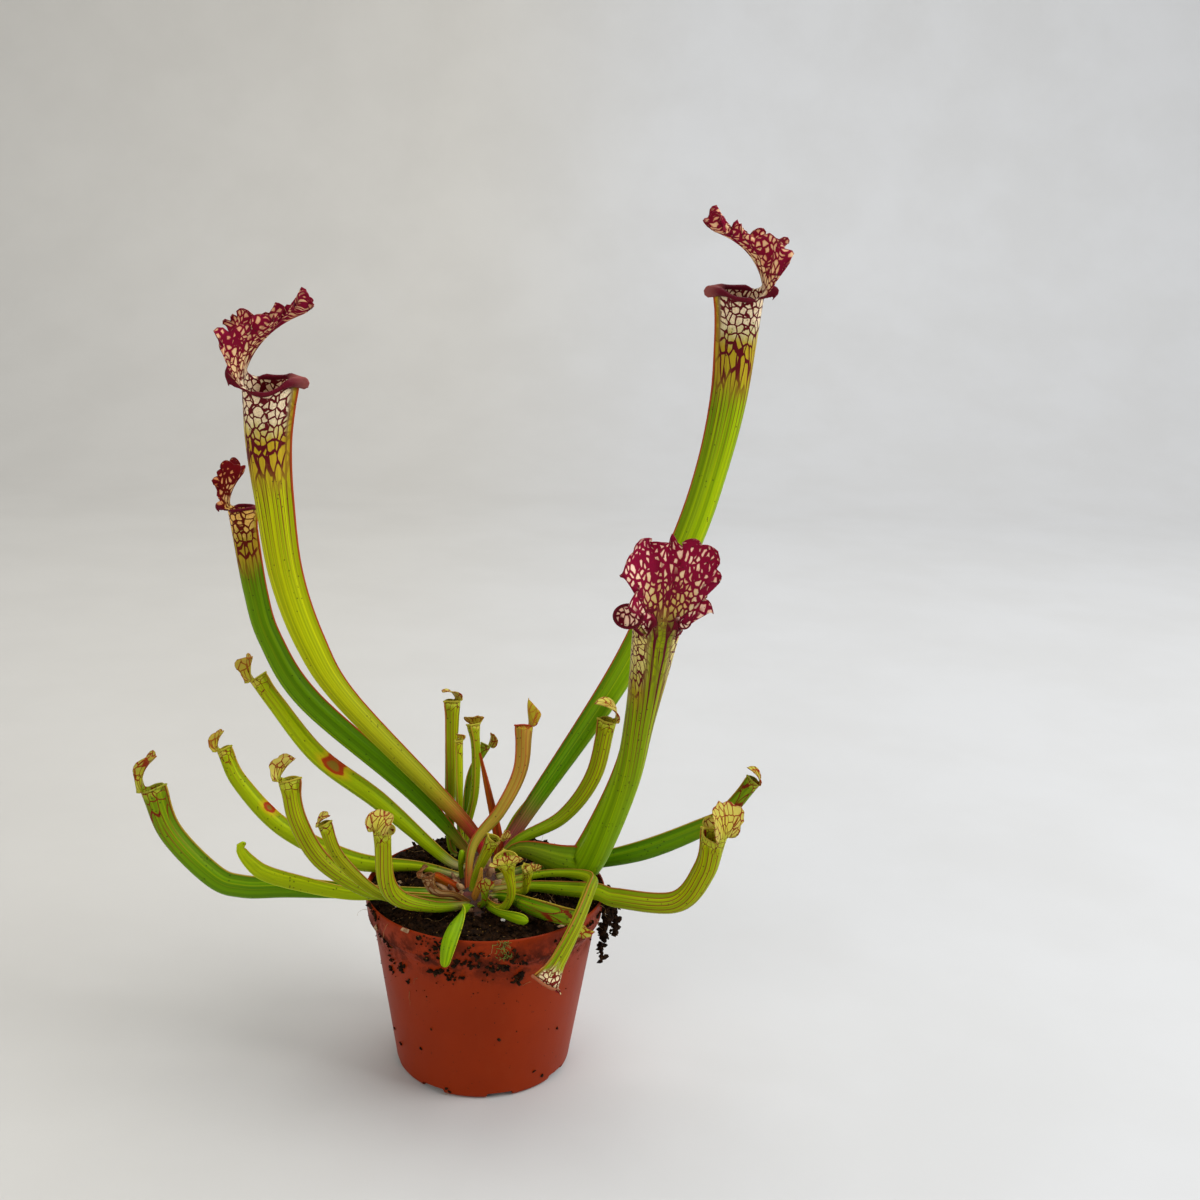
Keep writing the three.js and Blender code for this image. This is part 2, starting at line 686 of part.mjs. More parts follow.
const tallLeaves = TALL_LEAVES.map((leaf) => withLine(leaf, TALL_FORM));
const smallLeaves = SMALL_LEAVES.map((leaf) => withLine(leaf, SMALL_FORM));
const plainLeaves = PLAIN_LEAVES.map((leaf) => withLine(leaf, PLAIN_FORM));
const allLeaves = [...tallLeaves, ...smallLeaves, ...plainLeaves];

// ---------------------------------------------------------------- crown, soil and pot

/** Rhizome lumps and the feet of all leaves, joined to one body. */
function crown(swell = 0) {
  const lumps = CROWN_LUMPS.map(([x, y, z, rx, ry, rz]) => {
    const lump = new THREE.SphereGeometry(1, 12, 7);
    lump.scale(rx + swell, ry + swell, rz + swell);
    lump.translate(x, y, z);
    return solidOf(lump);
  });
  const feet = allLeaves.map((leaf) => solidOf(stub(leaf, swell).geometry()));
  return wasm.Manifold.union([...lumps, ...feet]);
}

/** Height of the peat's surface. */
function soilHeight(x, y, radius) {
  const share = Math.hypot(x, y) / radius;
  const mound = SOIL_MOUND * (1 - share * share);
  const back = SOIL_SLOPE_BACK * smoothstep(y, -5, 45);
  const lumps = Math.sin(0.31 * x + 1.3) * Math.cos(0.27 * y + 0.4) + 0.6 * Math.sin(0.62 * x - 0.5 * y);
  return SOIL_EDGE_HEIGHT + mound + back + SOIL_LUMP * lumps * Math.min(1, 3 * (1 - share));
}

function potRadiusAt(height) {
  const slope = (WALL_TOP_RADIUS - WALL_FOOT_RADIUS) / (WALL_TOP_HEIGHT - BASE_ROUND);
  return WALL_FOOT_RADIUS + slope * (height - BASE_ROUND);
}

function soil() {
  const skin = new Skin();
  const sides = 36;
  const circle = (radius, heightAt) => skin.ring(Array.from({ length: sides }, (_, i) => {
    const angle = (2 * Math.PI * i) / sides;
    const x = radius * Math.cos(angle);
    const y = radius * Math.sin(angle);
    return new THREE.Vector3(x, y, heightAt(x, y));
  }));
  const inset = WALL + GAP;
  const top = RIM_RADIUS - inset - 0.6;
  const floor = FLOOR + GAP;
  const rings = [
    circle(BASE_RADIUS - inset - 1, () => floor),
    circle(potRadiusAt(8) - inset, () => 8),
    circle(WALL_TOP_RADIUS - inset, () => WALL_TOP_HEIGHT + 1.5),
    circle(COLLAR_FOOT_RADIUS - inset - 0.1, () => COLLAR_FOOT_HEIGHT + 1.5),
  ];
  for (const share of [1, 0.86, 0.72, 0.58, 0.44, 0.3, 0.15]) {
    rings.push(circle(top * share, (x, y) => soilHeight(x, y, top)));
  }
  skin.startPole(rings[0], new THREE.Vector3(0, 0, floor));
  for (let i = 1; i < rings.length; i++) skin.strip(rings[i - 1], rings[i]);
  skin.endPole(rings.at(-1), new THREE.Vector3(0, 0, soilHeight(0, 0, top)));
  return geometryOf(solidOf(skin.geometry()).subtract(crown(GAP)));
}

function pot() {
  const bend = [0, 30, 60, 90].map((degrees) => {
    const angle = radians(degrees);
    return [BASE_RADIUS + BASE_ROUND * 0.9 * Math.sin(angle), BASE_ROUND * (1 - Math.cos(angle))];
  });
  const outline = [
    [0, 0],
    ...bend,
    [WALL_TOP_RADIUS, WALL_TOP_HEIGHT],
    [COLLAR_FOOT_RADIUS, COLLAR_FOOT_HEIGHT],
    [RIM_RADIUS - 0.2, POT_HEIGHT - 0.7],
    [RIM_RADIUS - 0.7, POT_HEIGHT],
    [RIM_RADIUS - WALL, POT_HEIGHT - 0.3],
    [COLLAR_FOOT_RADIUS - WALL, COLLAR_FOOT_HEIGHT + 0.7],
    [WALL_TOP_RADIUS - WALL, WALL_TOP_HEIGHT + 0.4],
    [WALL_FOOT_RADIUS - WALL + 0.2, FLOOR + BASE_ROUND],
    [BASE_RADIUS - WALL, FLOOR],
    [0, FLOOR],
  ].map(([radius, height]) => new THREE.Vector2(radius, height));
  const shell = new THREE.LatheGeometry(outline, POT_SIDES);
  shell.rotateX(Math.PI / 2);
  let body = solidOf(shell);
  for (let i = 0; i < DRAIN_SLOTS; i++) {
    const slot = new THREE.BoxGeometry(2 * DRAIN_DEPTH, DRAIN_WIDTH, 2 * DRAIN_HEIGHT);
    slot.translate(WALL_FOOT_RADIUS, 0, 0);
    slot.rotateZ(((i + 0.35) * 2 * Math.PI) / DRAIN_SLOTS);
    body = body.subtract(solidOf(slot));
  }
  return geometryOf(body);
}

// ---------------------------------------------------------------- the plant

const group = new THREE.Group();
group.add(named("pot", pot(), 0x9a3f22, 0.45));
group.add(named("soil", soil(), 0x2a1f18, 0.95));
group.add(named("crown", geometryOf(crown()), 0x6a3424, 0.7));
for (const leaf of [...tallLeaves, ...smallLeaves]) {
  group.add(named(leaf.name, pitcher(leaf).geometry(), leaf.colour, 0.45));
}
for (const leaf of plainLeaves) {
  group.add(named(leaf.name, plainLeaf(leaf).geometry(), leaf.colour, 0.5));
}

export default group;
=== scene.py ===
import math
import random
from bisect import bisect_left
from collections import namedtuple
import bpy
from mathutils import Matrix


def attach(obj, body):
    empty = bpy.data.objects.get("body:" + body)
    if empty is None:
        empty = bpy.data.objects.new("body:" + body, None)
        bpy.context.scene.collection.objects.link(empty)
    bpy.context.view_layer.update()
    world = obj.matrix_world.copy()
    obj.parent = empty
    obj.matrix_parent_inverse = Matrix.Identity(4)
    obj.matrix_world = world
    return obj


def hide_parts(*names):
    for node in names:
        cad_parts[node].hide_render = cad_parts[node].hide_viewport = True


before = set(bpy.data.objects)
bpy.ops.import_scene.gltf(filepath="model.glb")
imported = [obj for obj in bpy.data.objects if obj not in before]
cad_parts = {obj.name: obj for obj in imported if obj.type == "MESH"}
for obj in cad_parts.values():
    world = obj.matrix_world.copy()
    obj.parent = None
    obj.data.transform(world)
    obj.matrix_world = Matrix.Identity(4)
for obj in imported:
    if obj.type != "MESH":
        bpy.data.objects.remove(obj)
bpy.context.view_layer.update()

from types import SimpleNamespace

import bmesh
import bpy
from bpy.props import FloatProperty, FloatVectorProperty, IntProperty, PointerProperty
from mathutils import Matrix, Vector, noise

bl_info = {
    "name": "Potted pitcher plant",
    "version": (1, 0, 0),
    "blender": (4, 5, 0),
    "location": "View3D > Sidebar > Pitcher plant",
    "description": "Builds a pitcher plant in a plastic nursery pot around its packed frame",
    "category": "Object",
}

MM = 0.001  # tables and shapes are in millimetres, except the stage's, and add_piece scales them

# ---------------------------------------------------------------- the pot and the peat
# Points of an outline or of a wall are (radius, height).

POT_HEIGHT, RIM_RADIUS = 93.0, 60.0
COLLAR_FOOT = (58.4, 80.5)  # lower edge of the band under the rim
WALL_TOP = (55.4, 75.5)
WALL_FOOT, BASE_ROUND = 44.2, 3.0  # radius of the wall's foot, and height of its bend to the base
BASE_FLAT, BASE_BEND = 41.5, 2.7  # radius of the flat base, and width of the bend
WALL, FLOOR = 1.3, 1.8
POT_COLLAR = (
    (55.25, 74.9), (55.6, 75.7), (58.0, 80.0), (58.35, 80.4), (58.45, 81.0), (59.0, 85.0), (59.5, 89.0))
POT_RIM = ((59.78, 92.2), (59.6, 92.75), (59.2, 93.0), (58.9, 92.9), (58.7, 92.5))
POT_INSIDE = ((57.15, 81.2), (54.1, 75.9), (48.0, 39.0), (43.1, 4.8), (41.8, 2.6), (40.2, FLOOR), (0, FLOOR))
POT_STEPS = 144
DRAIN_SLOTS, DRAIN_TURN = 8, 0.35
DRAIN_CUT, DRAIN_ROUND = (14, 13, 6), 1.0  # size of the block that cuts a slot, and its rounding
SOIL_EDGE, SOIL_BACK, SOIL_MOUND, SOIL_LUMP = 90.0, 3.5, 2.2, 1.1
SOIL_RADIUS = RIM_RADIUS - WALL - 0.9
SOIL_SIDE = ((39, FLOOR + 0.3), (43.4, 8), (53.8, 77), (56.7, 82))
SOIL_CORNERS, SOIL_RINGS = 120, 44
CROWN_LUMPS = ((-4, -18, 87, 15, 16, 11.5), (-4, 3, 86.5, 15.5, 15, 12), (-3, 19, 87, 15.5, 18, 12))
CROWN_MIDDLE = Vector((-4, 0, 87))
SHEATHS = 34

# ---------------------------------------------------------------- leaves
# Each row: name, points of the centreline (x, y, z, half depth), compass angle of the back at foot
# and mouth, and for a pitcher its hood. Leans and the fold of its sides are in degrees.

Hood = namedtuple("Hood", "length half_width root_lean tip_lean fold ruffle")

TALL_LEAVES = (
    ("pitcher_tall_left", (
        (0, 22, 95, 3), (-10, 23, 112, 3.5), (-31, 21, 136, 4.6), (-73, 17, 183, 6),
        (-89, 14, 212, 7.4), (-99, 10, 246, 8.2), (-103, 6, 283, 9.2), (-104, 1, 312, 10.8),
        (-101, -7, 337, 12.6)),
     (188, 182), Hood(53, 24, 9, 70, 62, 2.6)),
    ("pitcher_rear_left", (
        (-9, 20, 95, 2.5), (-14, 24, 102, 2.6), (-42, 25, 133, 5), (-92, 25, 178, 6.2),
        (-111, 25, 209, 6), (-118, 25, 234, 6), (-123, 22, 275, 6.6)),
     (180, 178), Hood(22, 13, 10, 62, 60, 1.6)),
    ("pitcher_tall_right", (
        (4, 26, 95, 3), (20, 28, 123, 4.3), (59, 32, 187, 6.6), (77, 34, 224, 7.2), (95, 37, 267, 7.8),
        (105, 40, 302, 8), (111, 42, 334, 9), (113, 42, 363, 10.4), (113, 36, 384, 11.8)),
     (6, 0), Hood(46, 23, 6, 86, 62, 2.4)),
    ("pitcher_broad_front", (
        (4, 11, 95, 2.2), (16, 12, 107, 4), (42, 2, 106, 8.6), (51, -2, 111, 9), (66, -17, 157, 8.2),
        (72, -30, 196, 9), (77, -47, 244, 13.4)),
     (-13, -80), Hood(43, 24, 4, 34, 20, 3)),
)
SMALL_LEAVES = (
    ("pitcher_leaning_left", (
        (-12, 13, 95, 2.4), (-23, 14, 100.5, 3), (-56, 20, 127, 5), (-88, 26, 148, 5.2),
        (-111, 32, 174, 4.8), (-120, 34, 186, 4.6)),
     (166, 166), Hood(13, 7, 25, 62, 50, 0.5)),
    ("pitcher_low_left", (
        (-14, 4, 95, 2), (-34, 7, 98, 2.6), (-67, 7, 100, 4.8), (-102, 9, 115, 5), (-124, 9, 139, 4.4),
        (-132, 10, 156, 3.6)),
     (176, 176), Hood(11, 5.4, 20, 70, 45, 0.4)),
    ("pitcher_spread_left", (
        (-11, -11, 93, 2.2), (-52, -23, 98, 3.4), (-93, -25, 100, 5.2), (-115, -24, 99, 5.8),
        (-130, -22, 103, 6), (-151, -18, 123, 6), (-159, -17, 145, 6)),
     (196, 176), Hood(20, 6.6, 14, 76, 35, 0.5)),
    ("pitcher_upturned_left", (
        (-9, -23, 96, 1.8), (-38, -32, 101, 2), (-53, -38, 106, 3.3), (-74, -39, 121, 4.3),
        (-85, -39, 141, 4.5), (-89, -37, 160, 4.2)),
     (197, 178), Hood(13, 7.5, 30, 70, 60, 0.5)),
    ("pitcher_small_left", (
        (-7, -26, 95, 1.8), (-29, -35, 101, 1.9), (-46, -45, 108, 2.4), (-64, -47, 126, 3),
        (-71, -47, 143, 3)),
     (198, 184), Hood(7, 4, 45, 100, 20, 0.3)),
    ("pitcher_front_left", (
        (-6, -27, 95, 2), (-23, -40, 100, 2.9), (-40, -51, 113, 4.4), (-42, -60, 147, 4.6)),
     (214, 240), Hood(16, 7.5, 20, 100, 12, 0.5)),
    ("pitcher_rear_slim", (
        (-12, 26, 93, 2), (-21.5, 35, 98, 2.6), (-23, 44, 143, 3.9), (-23, 49, 172, 4.3)),
     (100, 40), Hood(12, 4.6, 25, 110, 10, 0.4)),
    ("pitcher_rear_bud", (
        (-12, 25, 94, 1.8), (-16.5, 32.5, 108, 2), (-17.5, 34, 133, 2.6), (-18, 36, 155, 2.3)),
     (100, 60), Hood(4, 2.6, 0, 80, 10, 0.1)),
    ("pitcher_rear_mid", (
        (-8, 28, 95, 2), (-14, 35, 102, 2.4), (-10, 41, 124, 2.8), (-10, 46, 145, 3),
        (-12, 50, 159, 3.4)),
     (95, 80), Hood(6, 5, 10, 95, 5, 0.4)),
    ("pitcher_rear_brown", (
        (-7, 32, 95, 2), (-15, 46, 100, 2), (-15, 50, 117, 2.6), (-13, 54, 131, 2.4),
        (-6, 60, 144, 2.6)),
     (95, 30), Hood(7.5, 4.2, 0, 60, 20, 0.4)),
    ("pitcher_rear_amber", (
        (-8, -15, 93, 1.8), (-7, 1, 113, 2.8), (5, 16, 126, 3.8), (14, 32, 142, 4.2),
        (15, 46, 160, 4.4)),
     (70, 18), Hood(16, 6, 26, 2, 25, 0.1)),
    ("pitcher_striped_right", (
        (3, 17, 96, 2), (15, 19, 109, 2.8), (37, 20.5, 122, 3.7), (52, 20, 145, 4.3),
        (58, 19, 175, 4.4)),
     (6, 6), Hood(17, 6.5, 0, 125, 10, 0.4)),
    ("pitcher_spread_right", (
        (5, 3, 95, 2), (22, 10, 98, 2.5), (42, 15.5, 98, 3.5), (77, 11, 109, 5.2), (106, 7, 124, 4.8),
        (118, 5, 133, 4), (131, 3, 152, 3.5)),
     (-2, -4), Hood(11, 4, 35, 115, 15, 0.3)),
    ("pitcher_low_right", (
        (4, -10, 95, 2), (22, -9, 97, 2.7), (40, -12, 98, 3.8), (56, -17, 99.5, 4.4),
        (66, -19, 97.5, 5), (94, -27, 100.5, 5.3), (106, -31, 119, 5.8), (109, -35, 139, 6)),
     (-12, -42), Hood(20, 12, 8, 50, 20, 1)),
    ("pitcher_small_front", (
        (1, -20, 95, 2), (5, -29, 96.5, 2), (11, -33, 97, 2.4), (15, -35, 107, 2.6),
        (12, -38, 125, 4)),
     (-70, -80), Hood(9, 7.4, -10, 25, 10, 0.4)),
    ("pitcher_second_front", (
        (4, -14, 94, 1.5), (14, -18.5, 98.5, 1.8), (20.5, -23.5, 102, 2.2), (22, -25, 114, 2.8)),
     (-40, -60), Hood(5, 4.6, -10, 25, 10, 0.3)),
    ("pitcher_front_right", (
        (3, -18, 95, 2), (13, -24, 98, 2.6), (26, -35, 99, 4.4), (40, -43.5, 99.5, 4.4),
        (47, -47, 100, 3.4)),
     (-45, -42), Hood(8, 5, -30, 10, 30, 0.5)),
    ("pitcher_hanging_front", (
        (3, -6, 95, 2), (26, -6, 102, 1.9), (43, -10.5, 105.5, 2.2), (53, -25, 110, 3.1),
        (51.5, -44, 112, 3.5), (46, -58, 102, 3.7), (39.5, -65, 90, 4.2), (33.5, -67.5, 79, 5)),
     (-5, -150), Hood(6, 7, 10, 40, 10, 0.5)),
    ("pitcher_curled_centre", (
        (-6, -18, 95, 1.5), (-4.5, -17.5, 104, 1.6), (-1, -19, 113, 2.5), (5, -21, 127, 3.4)),
     (-30, -30), Hood(7, 4.6, -20, 30, 20, 0.4)),
    ("pitcher_small_centre", (
        (-2, -26, 94, 1.5), (1.5, -30, 98, 1.6), (2, -31, 106, 2.6)),
     (-60, -80), Hood(5.5, 4, 0, 30, 10, 0.3)),
    ("pitcher_dry_tan", (
        (-6, -26, 95.5, 1.5), (-13, -30, 101.5, 1.6), (-19, -33.5, 103.5, 1.8), (-23, -35, 107, 2.4),
        (-25, -35, 113, 3)),
     (190, 170), Hood(6, 4, 10, 95, 20, 0.6)),
)
# The last value of a plain leaf is its half width as a share of its half depth.
PLAIN_LEAVES = (
    ("leaf_hooked_left", (
        (-11, -19, 94, 2), (-39, -26.5, 98.5, 2), (-62, -32, 101, 3.2), (-86, -34, 106.5, 4),
        (-101.5, -36, 112, 4.1), (-109, -36, 118, 3.4), (-113, -36, 124.5, 2.2),
        (-110.5, -36, 127.5, 1)),
     (195, 178), 0.6),
    ("leaf_pale_rear", (
        (3, 27, 94, 2), (14, 39, 112, 4.5), (34, 47, 136, 3.6), (43, 52, 149, 1)),
     (40, 40), 0.3),
    ("leaf_paddle_front", (
        (-4, -26, 94, 1.5), (-6, -38, 99.5, 2), (-9, -54, 98.5, 3.4), (-11.5, -64, 93, 3.6),
        (-13, -68, 84, 2)),
     (-15, -15), 0.35),
    ("leaf_blunt_front", (
        (1, -24, 94, 1.6), (9, -36, 96, 1.8), (19, -45, 98, 2.8), (24, -48, 98.5, 2)),
     (-50, -50), 0.6),
    ("leaf_bud_lime", (
        (-12, 0, 95, 1.2), (-12.5, -2, 103, 1.3), (-12, -2, 108, 1.8), (-12, -2, 112, 1.2)),
     (180, 180), 0.9),
    ("leaf_dry_orange", (
        (-5, -23, 94, 2.2), (-1.5, -25, 104, 2.4), (0, -25.5, 114, 1)),
     (-60, -60), 0.5),
    ("leaf_stub_red", (
        (-9, -15, 95, 2), (-17, -14, 99.5, 2.1), (-25, -12, 103, 2)),
     (170, 170), 0.7),
    ("leaf_spikes_red", (
        (4, 22, 96, 1.8), (4, 26.5, 106, 2.2), (-2, 30, 131, 1.5), (-7, 34, 150, 0.5)),
     (110, 110), 0.7),
)
# Outline of half a hood, from its foot to its tip: shares of its half width and of its length.
TALL_MARGIN = (
    (0.42, 0.03), (0.5, 0.14), (0.8, 0.26), (1, 0.36), (0.86, 0.45), (0.64, 0.54), (0.5, 0.63),
    (0.44, 0.73), (0.3, 0.82), (0.52, 0.9), (0.5, 0.98), (0.2, 1.0), (0, 0.98))
FAN_MARGIN = (
    (0.25, 0.1), (0.24, 0.22), (0.38, 0.3), (0.8, 0.36), (0.84, 0.44), (0.76, 0.52), (0.68, 0.59),
    (0.88, 0.66), (1, 0.68), (0.93, 0.84), (0.72, 0.95), (0.42, 1.0), (0.2, 0.96), (0, 0.98))
ROUND_MARGIN = (
    (0.55, 0.03), (0.7, 0.15), (0.92, 0.32), (1, 0.5), (0.92, 0.7), (0.68, 0.87), (0.35, 0.97), (0, 1))
FLARED_MARGIN = (
    (0.5, 0.03), (0.5, 0.18), (0.66, 0.36), (0.88, 0.55), (1, 0.72), (0.85, 0.9), (0.45, 0.99), (0, 1))
POINTED_MARGIN = (
    (0.5, 0.03), (0.75, 0.12), (1, 0.28), (0.9, 0.48), (0.62, 0.68), (0.34, 0.86), (0.14, 0.96),
    (0, 1))

# Form of a leaf, in millimetres, degrees and shares of its half depth.
# Tube: wing is the depth of the wing at its front, flat its half width, step the length of a ring,
#   wall its thickness, depth that of the hollow, plump a factor on its half depth, and flare how much
#   the mouth opens. neck is half the angle round the mouth that the hood stands on, neck_steps and
#   side_steps count the columns there and down each side.
# Lip: lip is the size of its roll, lip_height its rise, and nose, nose_rise and nose_roll how far its
#   front stands out and up, and how much thicker it rolls there.
# Hood: margin is its outline, hood_rows counts its rings, hood_wide and hood_long scale it, bow keeps
#   the neck narrow, calm scales the ruffle, and roll rolls its foot back. lobes counts the lobes of
#   its edge, scallop is their depth, spike and small_spikes are the points on it, and curl and
#   curl_turn the radius and turn of the rolled edge. hood_thick and edge_thick are thicknesses.
# Pattern: reach and back_reach say how soon the veins stretch out below the mouth, and cell_long how
#   long the hood's cells are at its middle.
TALL_FORM = dict(
    wing=0.16, flat=0.78, step=3.6, wall=0.9, depth=46.0, neck=56, neck_steps=116, side_steps=11,
    flare=0.0, lip=1.5, lip_height=1.4, nose=1.0, nose_rise=0.0, nose_roll=2.6, margin=TALL_MARGIN,
    hood_rows=30, hood_wide=0.9, hood_long=1.0, bow=7.0, calm=1.1, roll=0.9, lobes=21, scallop=2.6,
    spike=3.0, small_spikes=0.8, curl=0.9, curl_turn=170, hood_thick=0.7, edge_thick=0.45, reach=24.0,
    back_reach=12.0, cell_long=0.62)
SMALL_FORM = dict(
    wing=0.14, flat=0.8, step=2.0, wall=0.5, depth=14.0, neck=55, neck_steps=24, side_steps=6,
    flare=0.06, lip=0.3, lip_height=0.6, nose=0.5, nose_rise=0.0, nose_roll=0.3, margin=ROUND_MARGIN,
    hood_rows=12, hood_wide=1.1, hood_long=1.0, bow=2.0, calm=1.0, roll=0.6, lobes=6, scallop=0.5,
    spike=0.8, small_spikes=0.0, curl=0.3, curl_turn=90, hood_thick=0.5, edge_thick=0.3, reach=5.0,
    back_reach=5.0, cell_long=1.0)
PLAIN_FORM = dict(
    wing=0.1, flat=0.6, step=2.0, neck=55, neck_steps=10, side_steps=6, reach=16.0, back_reach=16.0)
OWN_FORM = {
    "pitcher_tall_left": dict(nose_rise=5.5),
    "pitcher_tall_right": dict(nose_rise=2.0),
    "pitcher_rear_left": dict(
        step=3.2, neck=46, lip=0.8, nose=2.0, nose_roll=0.8, margin=FLARED_MARGIN, hood_wide=1.0,
        bow=3.0, roll=1.2, lobes=13, scallop=1.4, spike=1.2, small_spikes=0.5, curl=0.6, reach=16.0),
    "pitcher_broad_front": dict(
        neck=40, lip=1.0, nose=3.0, margin=FAN_MARGIN, hood_wide=1.0, hood_long=1.08, bow=1.8,
        calm=0.8, roll=1.0, lobes=15, scallop=2.8, reach=26.0, back_reach=9.0, cell_long=0.95),
    "pitcher_hanging_front": dict(
        flare=0.4, lip=0.7, hood_wide=0.75, hood_long=0.32, reach=9.0, back_reach=9.0),
    "pitcher_upturned_left": dict(flare=0.25, hood_wide=1.15, scallop=0.8),
    "pitcher_low_right": dict(flare=0.15, hood_wide=1.0, hood_long=0.95, lobes=9, scallop=1.4),
    "pitcher_spread_left": dict(margin=FLARED_MARGIN, hood_wide=1.2),
    "pitcher_leaning_left": dict(margin=FLARED_MARGIN, hood_wide=1.25, scallop=0.8),
    "pitcher_front_left": dict(hood_wide=0.95, hood_long=0.75),
    "pitcher_rear_amber": dict(margin=POINTED_MARGIN, hood_wide=1.5, scallop=0.1),
    "pitcher_small_front": dict(flare=0.7, hood_wide=1.1, hood_long=0.5, reach=9.0),
    "pitcher_second_front": dict(flare=0.3, hood_long=0.8),
    "pitcher_rear_mid": dict(flare=0.3),
    "pitcher_small_left": dict(hood_wide=1.5),
    "leaf_spikes_red": dict(plump=1.6),
    "leaf_stub_red": dict(plump=1.2),
}
# Round ears where the lip curls back beside a hood: middle, way that the hollow faces, half width
# and half height.
EARS = {
    "pitcher_broad_front": (
        ((64.4, -64.5, 251.8), (-0.35, -0.93, 0.1), 6.7, 5.7),
        ((89.0, -62.0, 249.1), (0.5, -0.85, 0.1), 3.2, 2.9)),
    "pitcher_front_left": (
        ((-38.7, -64.0, 148.9), (0.1, -1, 0.1), 3.0, 3.0),),
    "pitcher_low_right": (
        ((106.5, -38.5, 147.0), (-0.1, -1, 0.1), 3.0, 3.0),),
}
WING_SPAN = math.radians(28)  # half the angle that the wing takes at a leaf's front
WING_EDGE = 0.3  # half the thickness of the wing's edge
SAMPLES = 240  # points that measure the length of a leaf's centreline
PATTERN_RADIUS = 0.85  # radius of the vein pattern round the mouth, as a share of its half depth
HOOD_TURN = 70  # angle round the lip's roll of the ring that the hood grows from, in degrees
LIP_TURNS = (-120, -75, -35, 5, 45, HOOD_TURN, 115, 150, 185, 215)
HOLLOW_SHARES = (0.008, 0.04, 0.1, 0.2, 0.34, 0.5, 0.7, 0.85, 1.0)  # rings down the inside
HEM_SHARE = 0.01  # above this share of the hollow's depth the lip's colour still shows a little
ROLLED_FROM = 0.88  # share of the way from the hood's neck to its edge where the edge starts to roll


# ---------------------------------------------------------------- small helpers


def lerp(a, b, t):
    return a + (b - a) * t


def smoothstep(value, low, high):
    t = min(1.0, max(0.0, (value - low) / (high - low)))
    return t * t * (3 - 2 * t)


def rgb(code):
    """Linear colour of a six-digit hexadecimal screen colour."""
    parts = [int(code[i : i + 2], 16) / 255 for i in (0, 2, 4)]
    return tuple(c / 12.92 if c <= 0.04045 else ((c + 0.055) / 1.055) ** 2.4 for c in parts)


def catmull(values, t):
    """Value of the same uniform spline that the solids follow, at t from 0 to 1."""
    last = len(values) - 1
    i = min(int(t * last), last - 1)
    w = t * last - i
    b, c = values[i], values[i + 1]
    a = values[i - 1] if i > 0 else b * 2 - c
    d = values[i + 2] if i + 2 <= last else c * 2 - b
    t0, t1 = (c - a) * 0.5, (d - b) * 0.5
    return b + t0 * w + (c * 3 - b * 3 - t0 * 2 - t1) * w**2 + (b * 2 - c * 2 + t0 + t1) * w**3


class Run:
    """Centreline of a leaf with its form. at(u) gives the axes and half depth at a share of it."""

    def __init__(self, name, stations, back, hood=None, **form):
        self.name, self.back, self.hood = name, back, hood
        self.points = [Vector(s[:3]) for s in stations]
        self.halves = [s[3] * form.get("plump", 1.0) for s in stations]
        self.form = SimpleNamespace(**form)
        samples = [catmull(self.points, i / SAMPLES) for i in range(SAMPLES + 1)]
        self.lengths = [0.0]
        for a, b in zip(samples, samples[1:]):
            self.lengths.append(self.lengths[-1] + (b - a).length)
        self.long = self.lengths[-1]

    def at(self, u):
        goal = min(max(u, 0.0), 1.0) * self.long
        i = max(1, bisect_left(self.lengths, goal))
        low, high = self.lengths[i - 1], self.lengths[i]
        t = (i - 1 + (goal - low) / max(high - low, 1e-9)) / SAMPLES
        nearby = 1e-3
        ahead, behind = (catmull(self.points, s) for s in (min(1.0, t + nearby), max(0.0, t - nearby)))
        along = (ahead - behind).normalized()
        facing = math.radians(lerp(self.back[0], self.back[1], u))
        across = Vector((-math.sin(facing), math.cos(facing), 0))
        across = (across - along * across.dot(along)).normalized()
        return SimpleNamespace(
            u=u, centre=catmull(self.points, t), along=along, across=across,
            outward=across.cross(along), half=catmull(self.halves, t),
        )


def place(at, outward, across, along=0.0):
    return at.centre + at.outward * outward + at.across * across + at.along * along


def skin_point(form, at, angle, swell=0.0, rise=0.0, wing=1.0):
    """Point of a leaf's skin at an angle from its back; wing 0 leaves the wing at its front out."""
    half = at.half
    deep, wide = half * (1 - form.wing) + swell, half * form.flat + swell
    out, side = half * form.wing + deep * math.cos(angle), wide * math.sin(angle)
    past = abs(angle) - (math.pi - WING_SPAN)
    if past > 0 and wing > 0:
        share = past / WING_SPAN
        root = half * form.wing - deep * math.cos(WING_SPAN)
        thick = wide * math.sin(WING_SPAN) * (1 - share) ** 2.2 + WING_EDGE * share
        out = lerp(out, lerp(root, -(half + swell), share), wing)
        side = lerp(side, math.copysign(thick, angle), wing)
    return place(at, out, side, rise)


def column_angles(form):
    """Angles of the columns round a leaf: the neck at its back first, then both sides and the wing."""
    neck = math.radians(form.neck)
    angles = [lerp(-neck, neck, i / form.neck_steps) for i in range(form.neck_steps + 1)]
    span = math.pi - WING_SPAN
    side = [lerp(neck, span, i / form.side_steps) for i in range(1, form.side_steps + 1)]
    side += [lerp(span, math.pi, share) for share in (0.3, 0.6, 0.85, 1.0)]
    return angles + side + [-angle for angle in reversed(side)]


# ---------------------------------------------------------------- growing a mesh


def extrude(bm, faces):
    """Extrudes faces of a closed skin, deletes the ones left inside it and gives the new parts."""
    made = bmesh.ops.extrude_face_region(bm, geom=faces)["geom"]
    bmesh.ops.delete(bm, geom=faces, context="FACES_ONLY")
    return made


def next_ring(bm, cap, first):
    """Extrudes the end face of a closed skin and gives the new one; the first face stays as its foot."""
    made = bmesh.ops.extrude_face_region(bm, geom=[cap])["geom"] if first else extrude(bm, [cap])
    return next(part for part in made if isinstance(part, bmesh.types.BMFace))


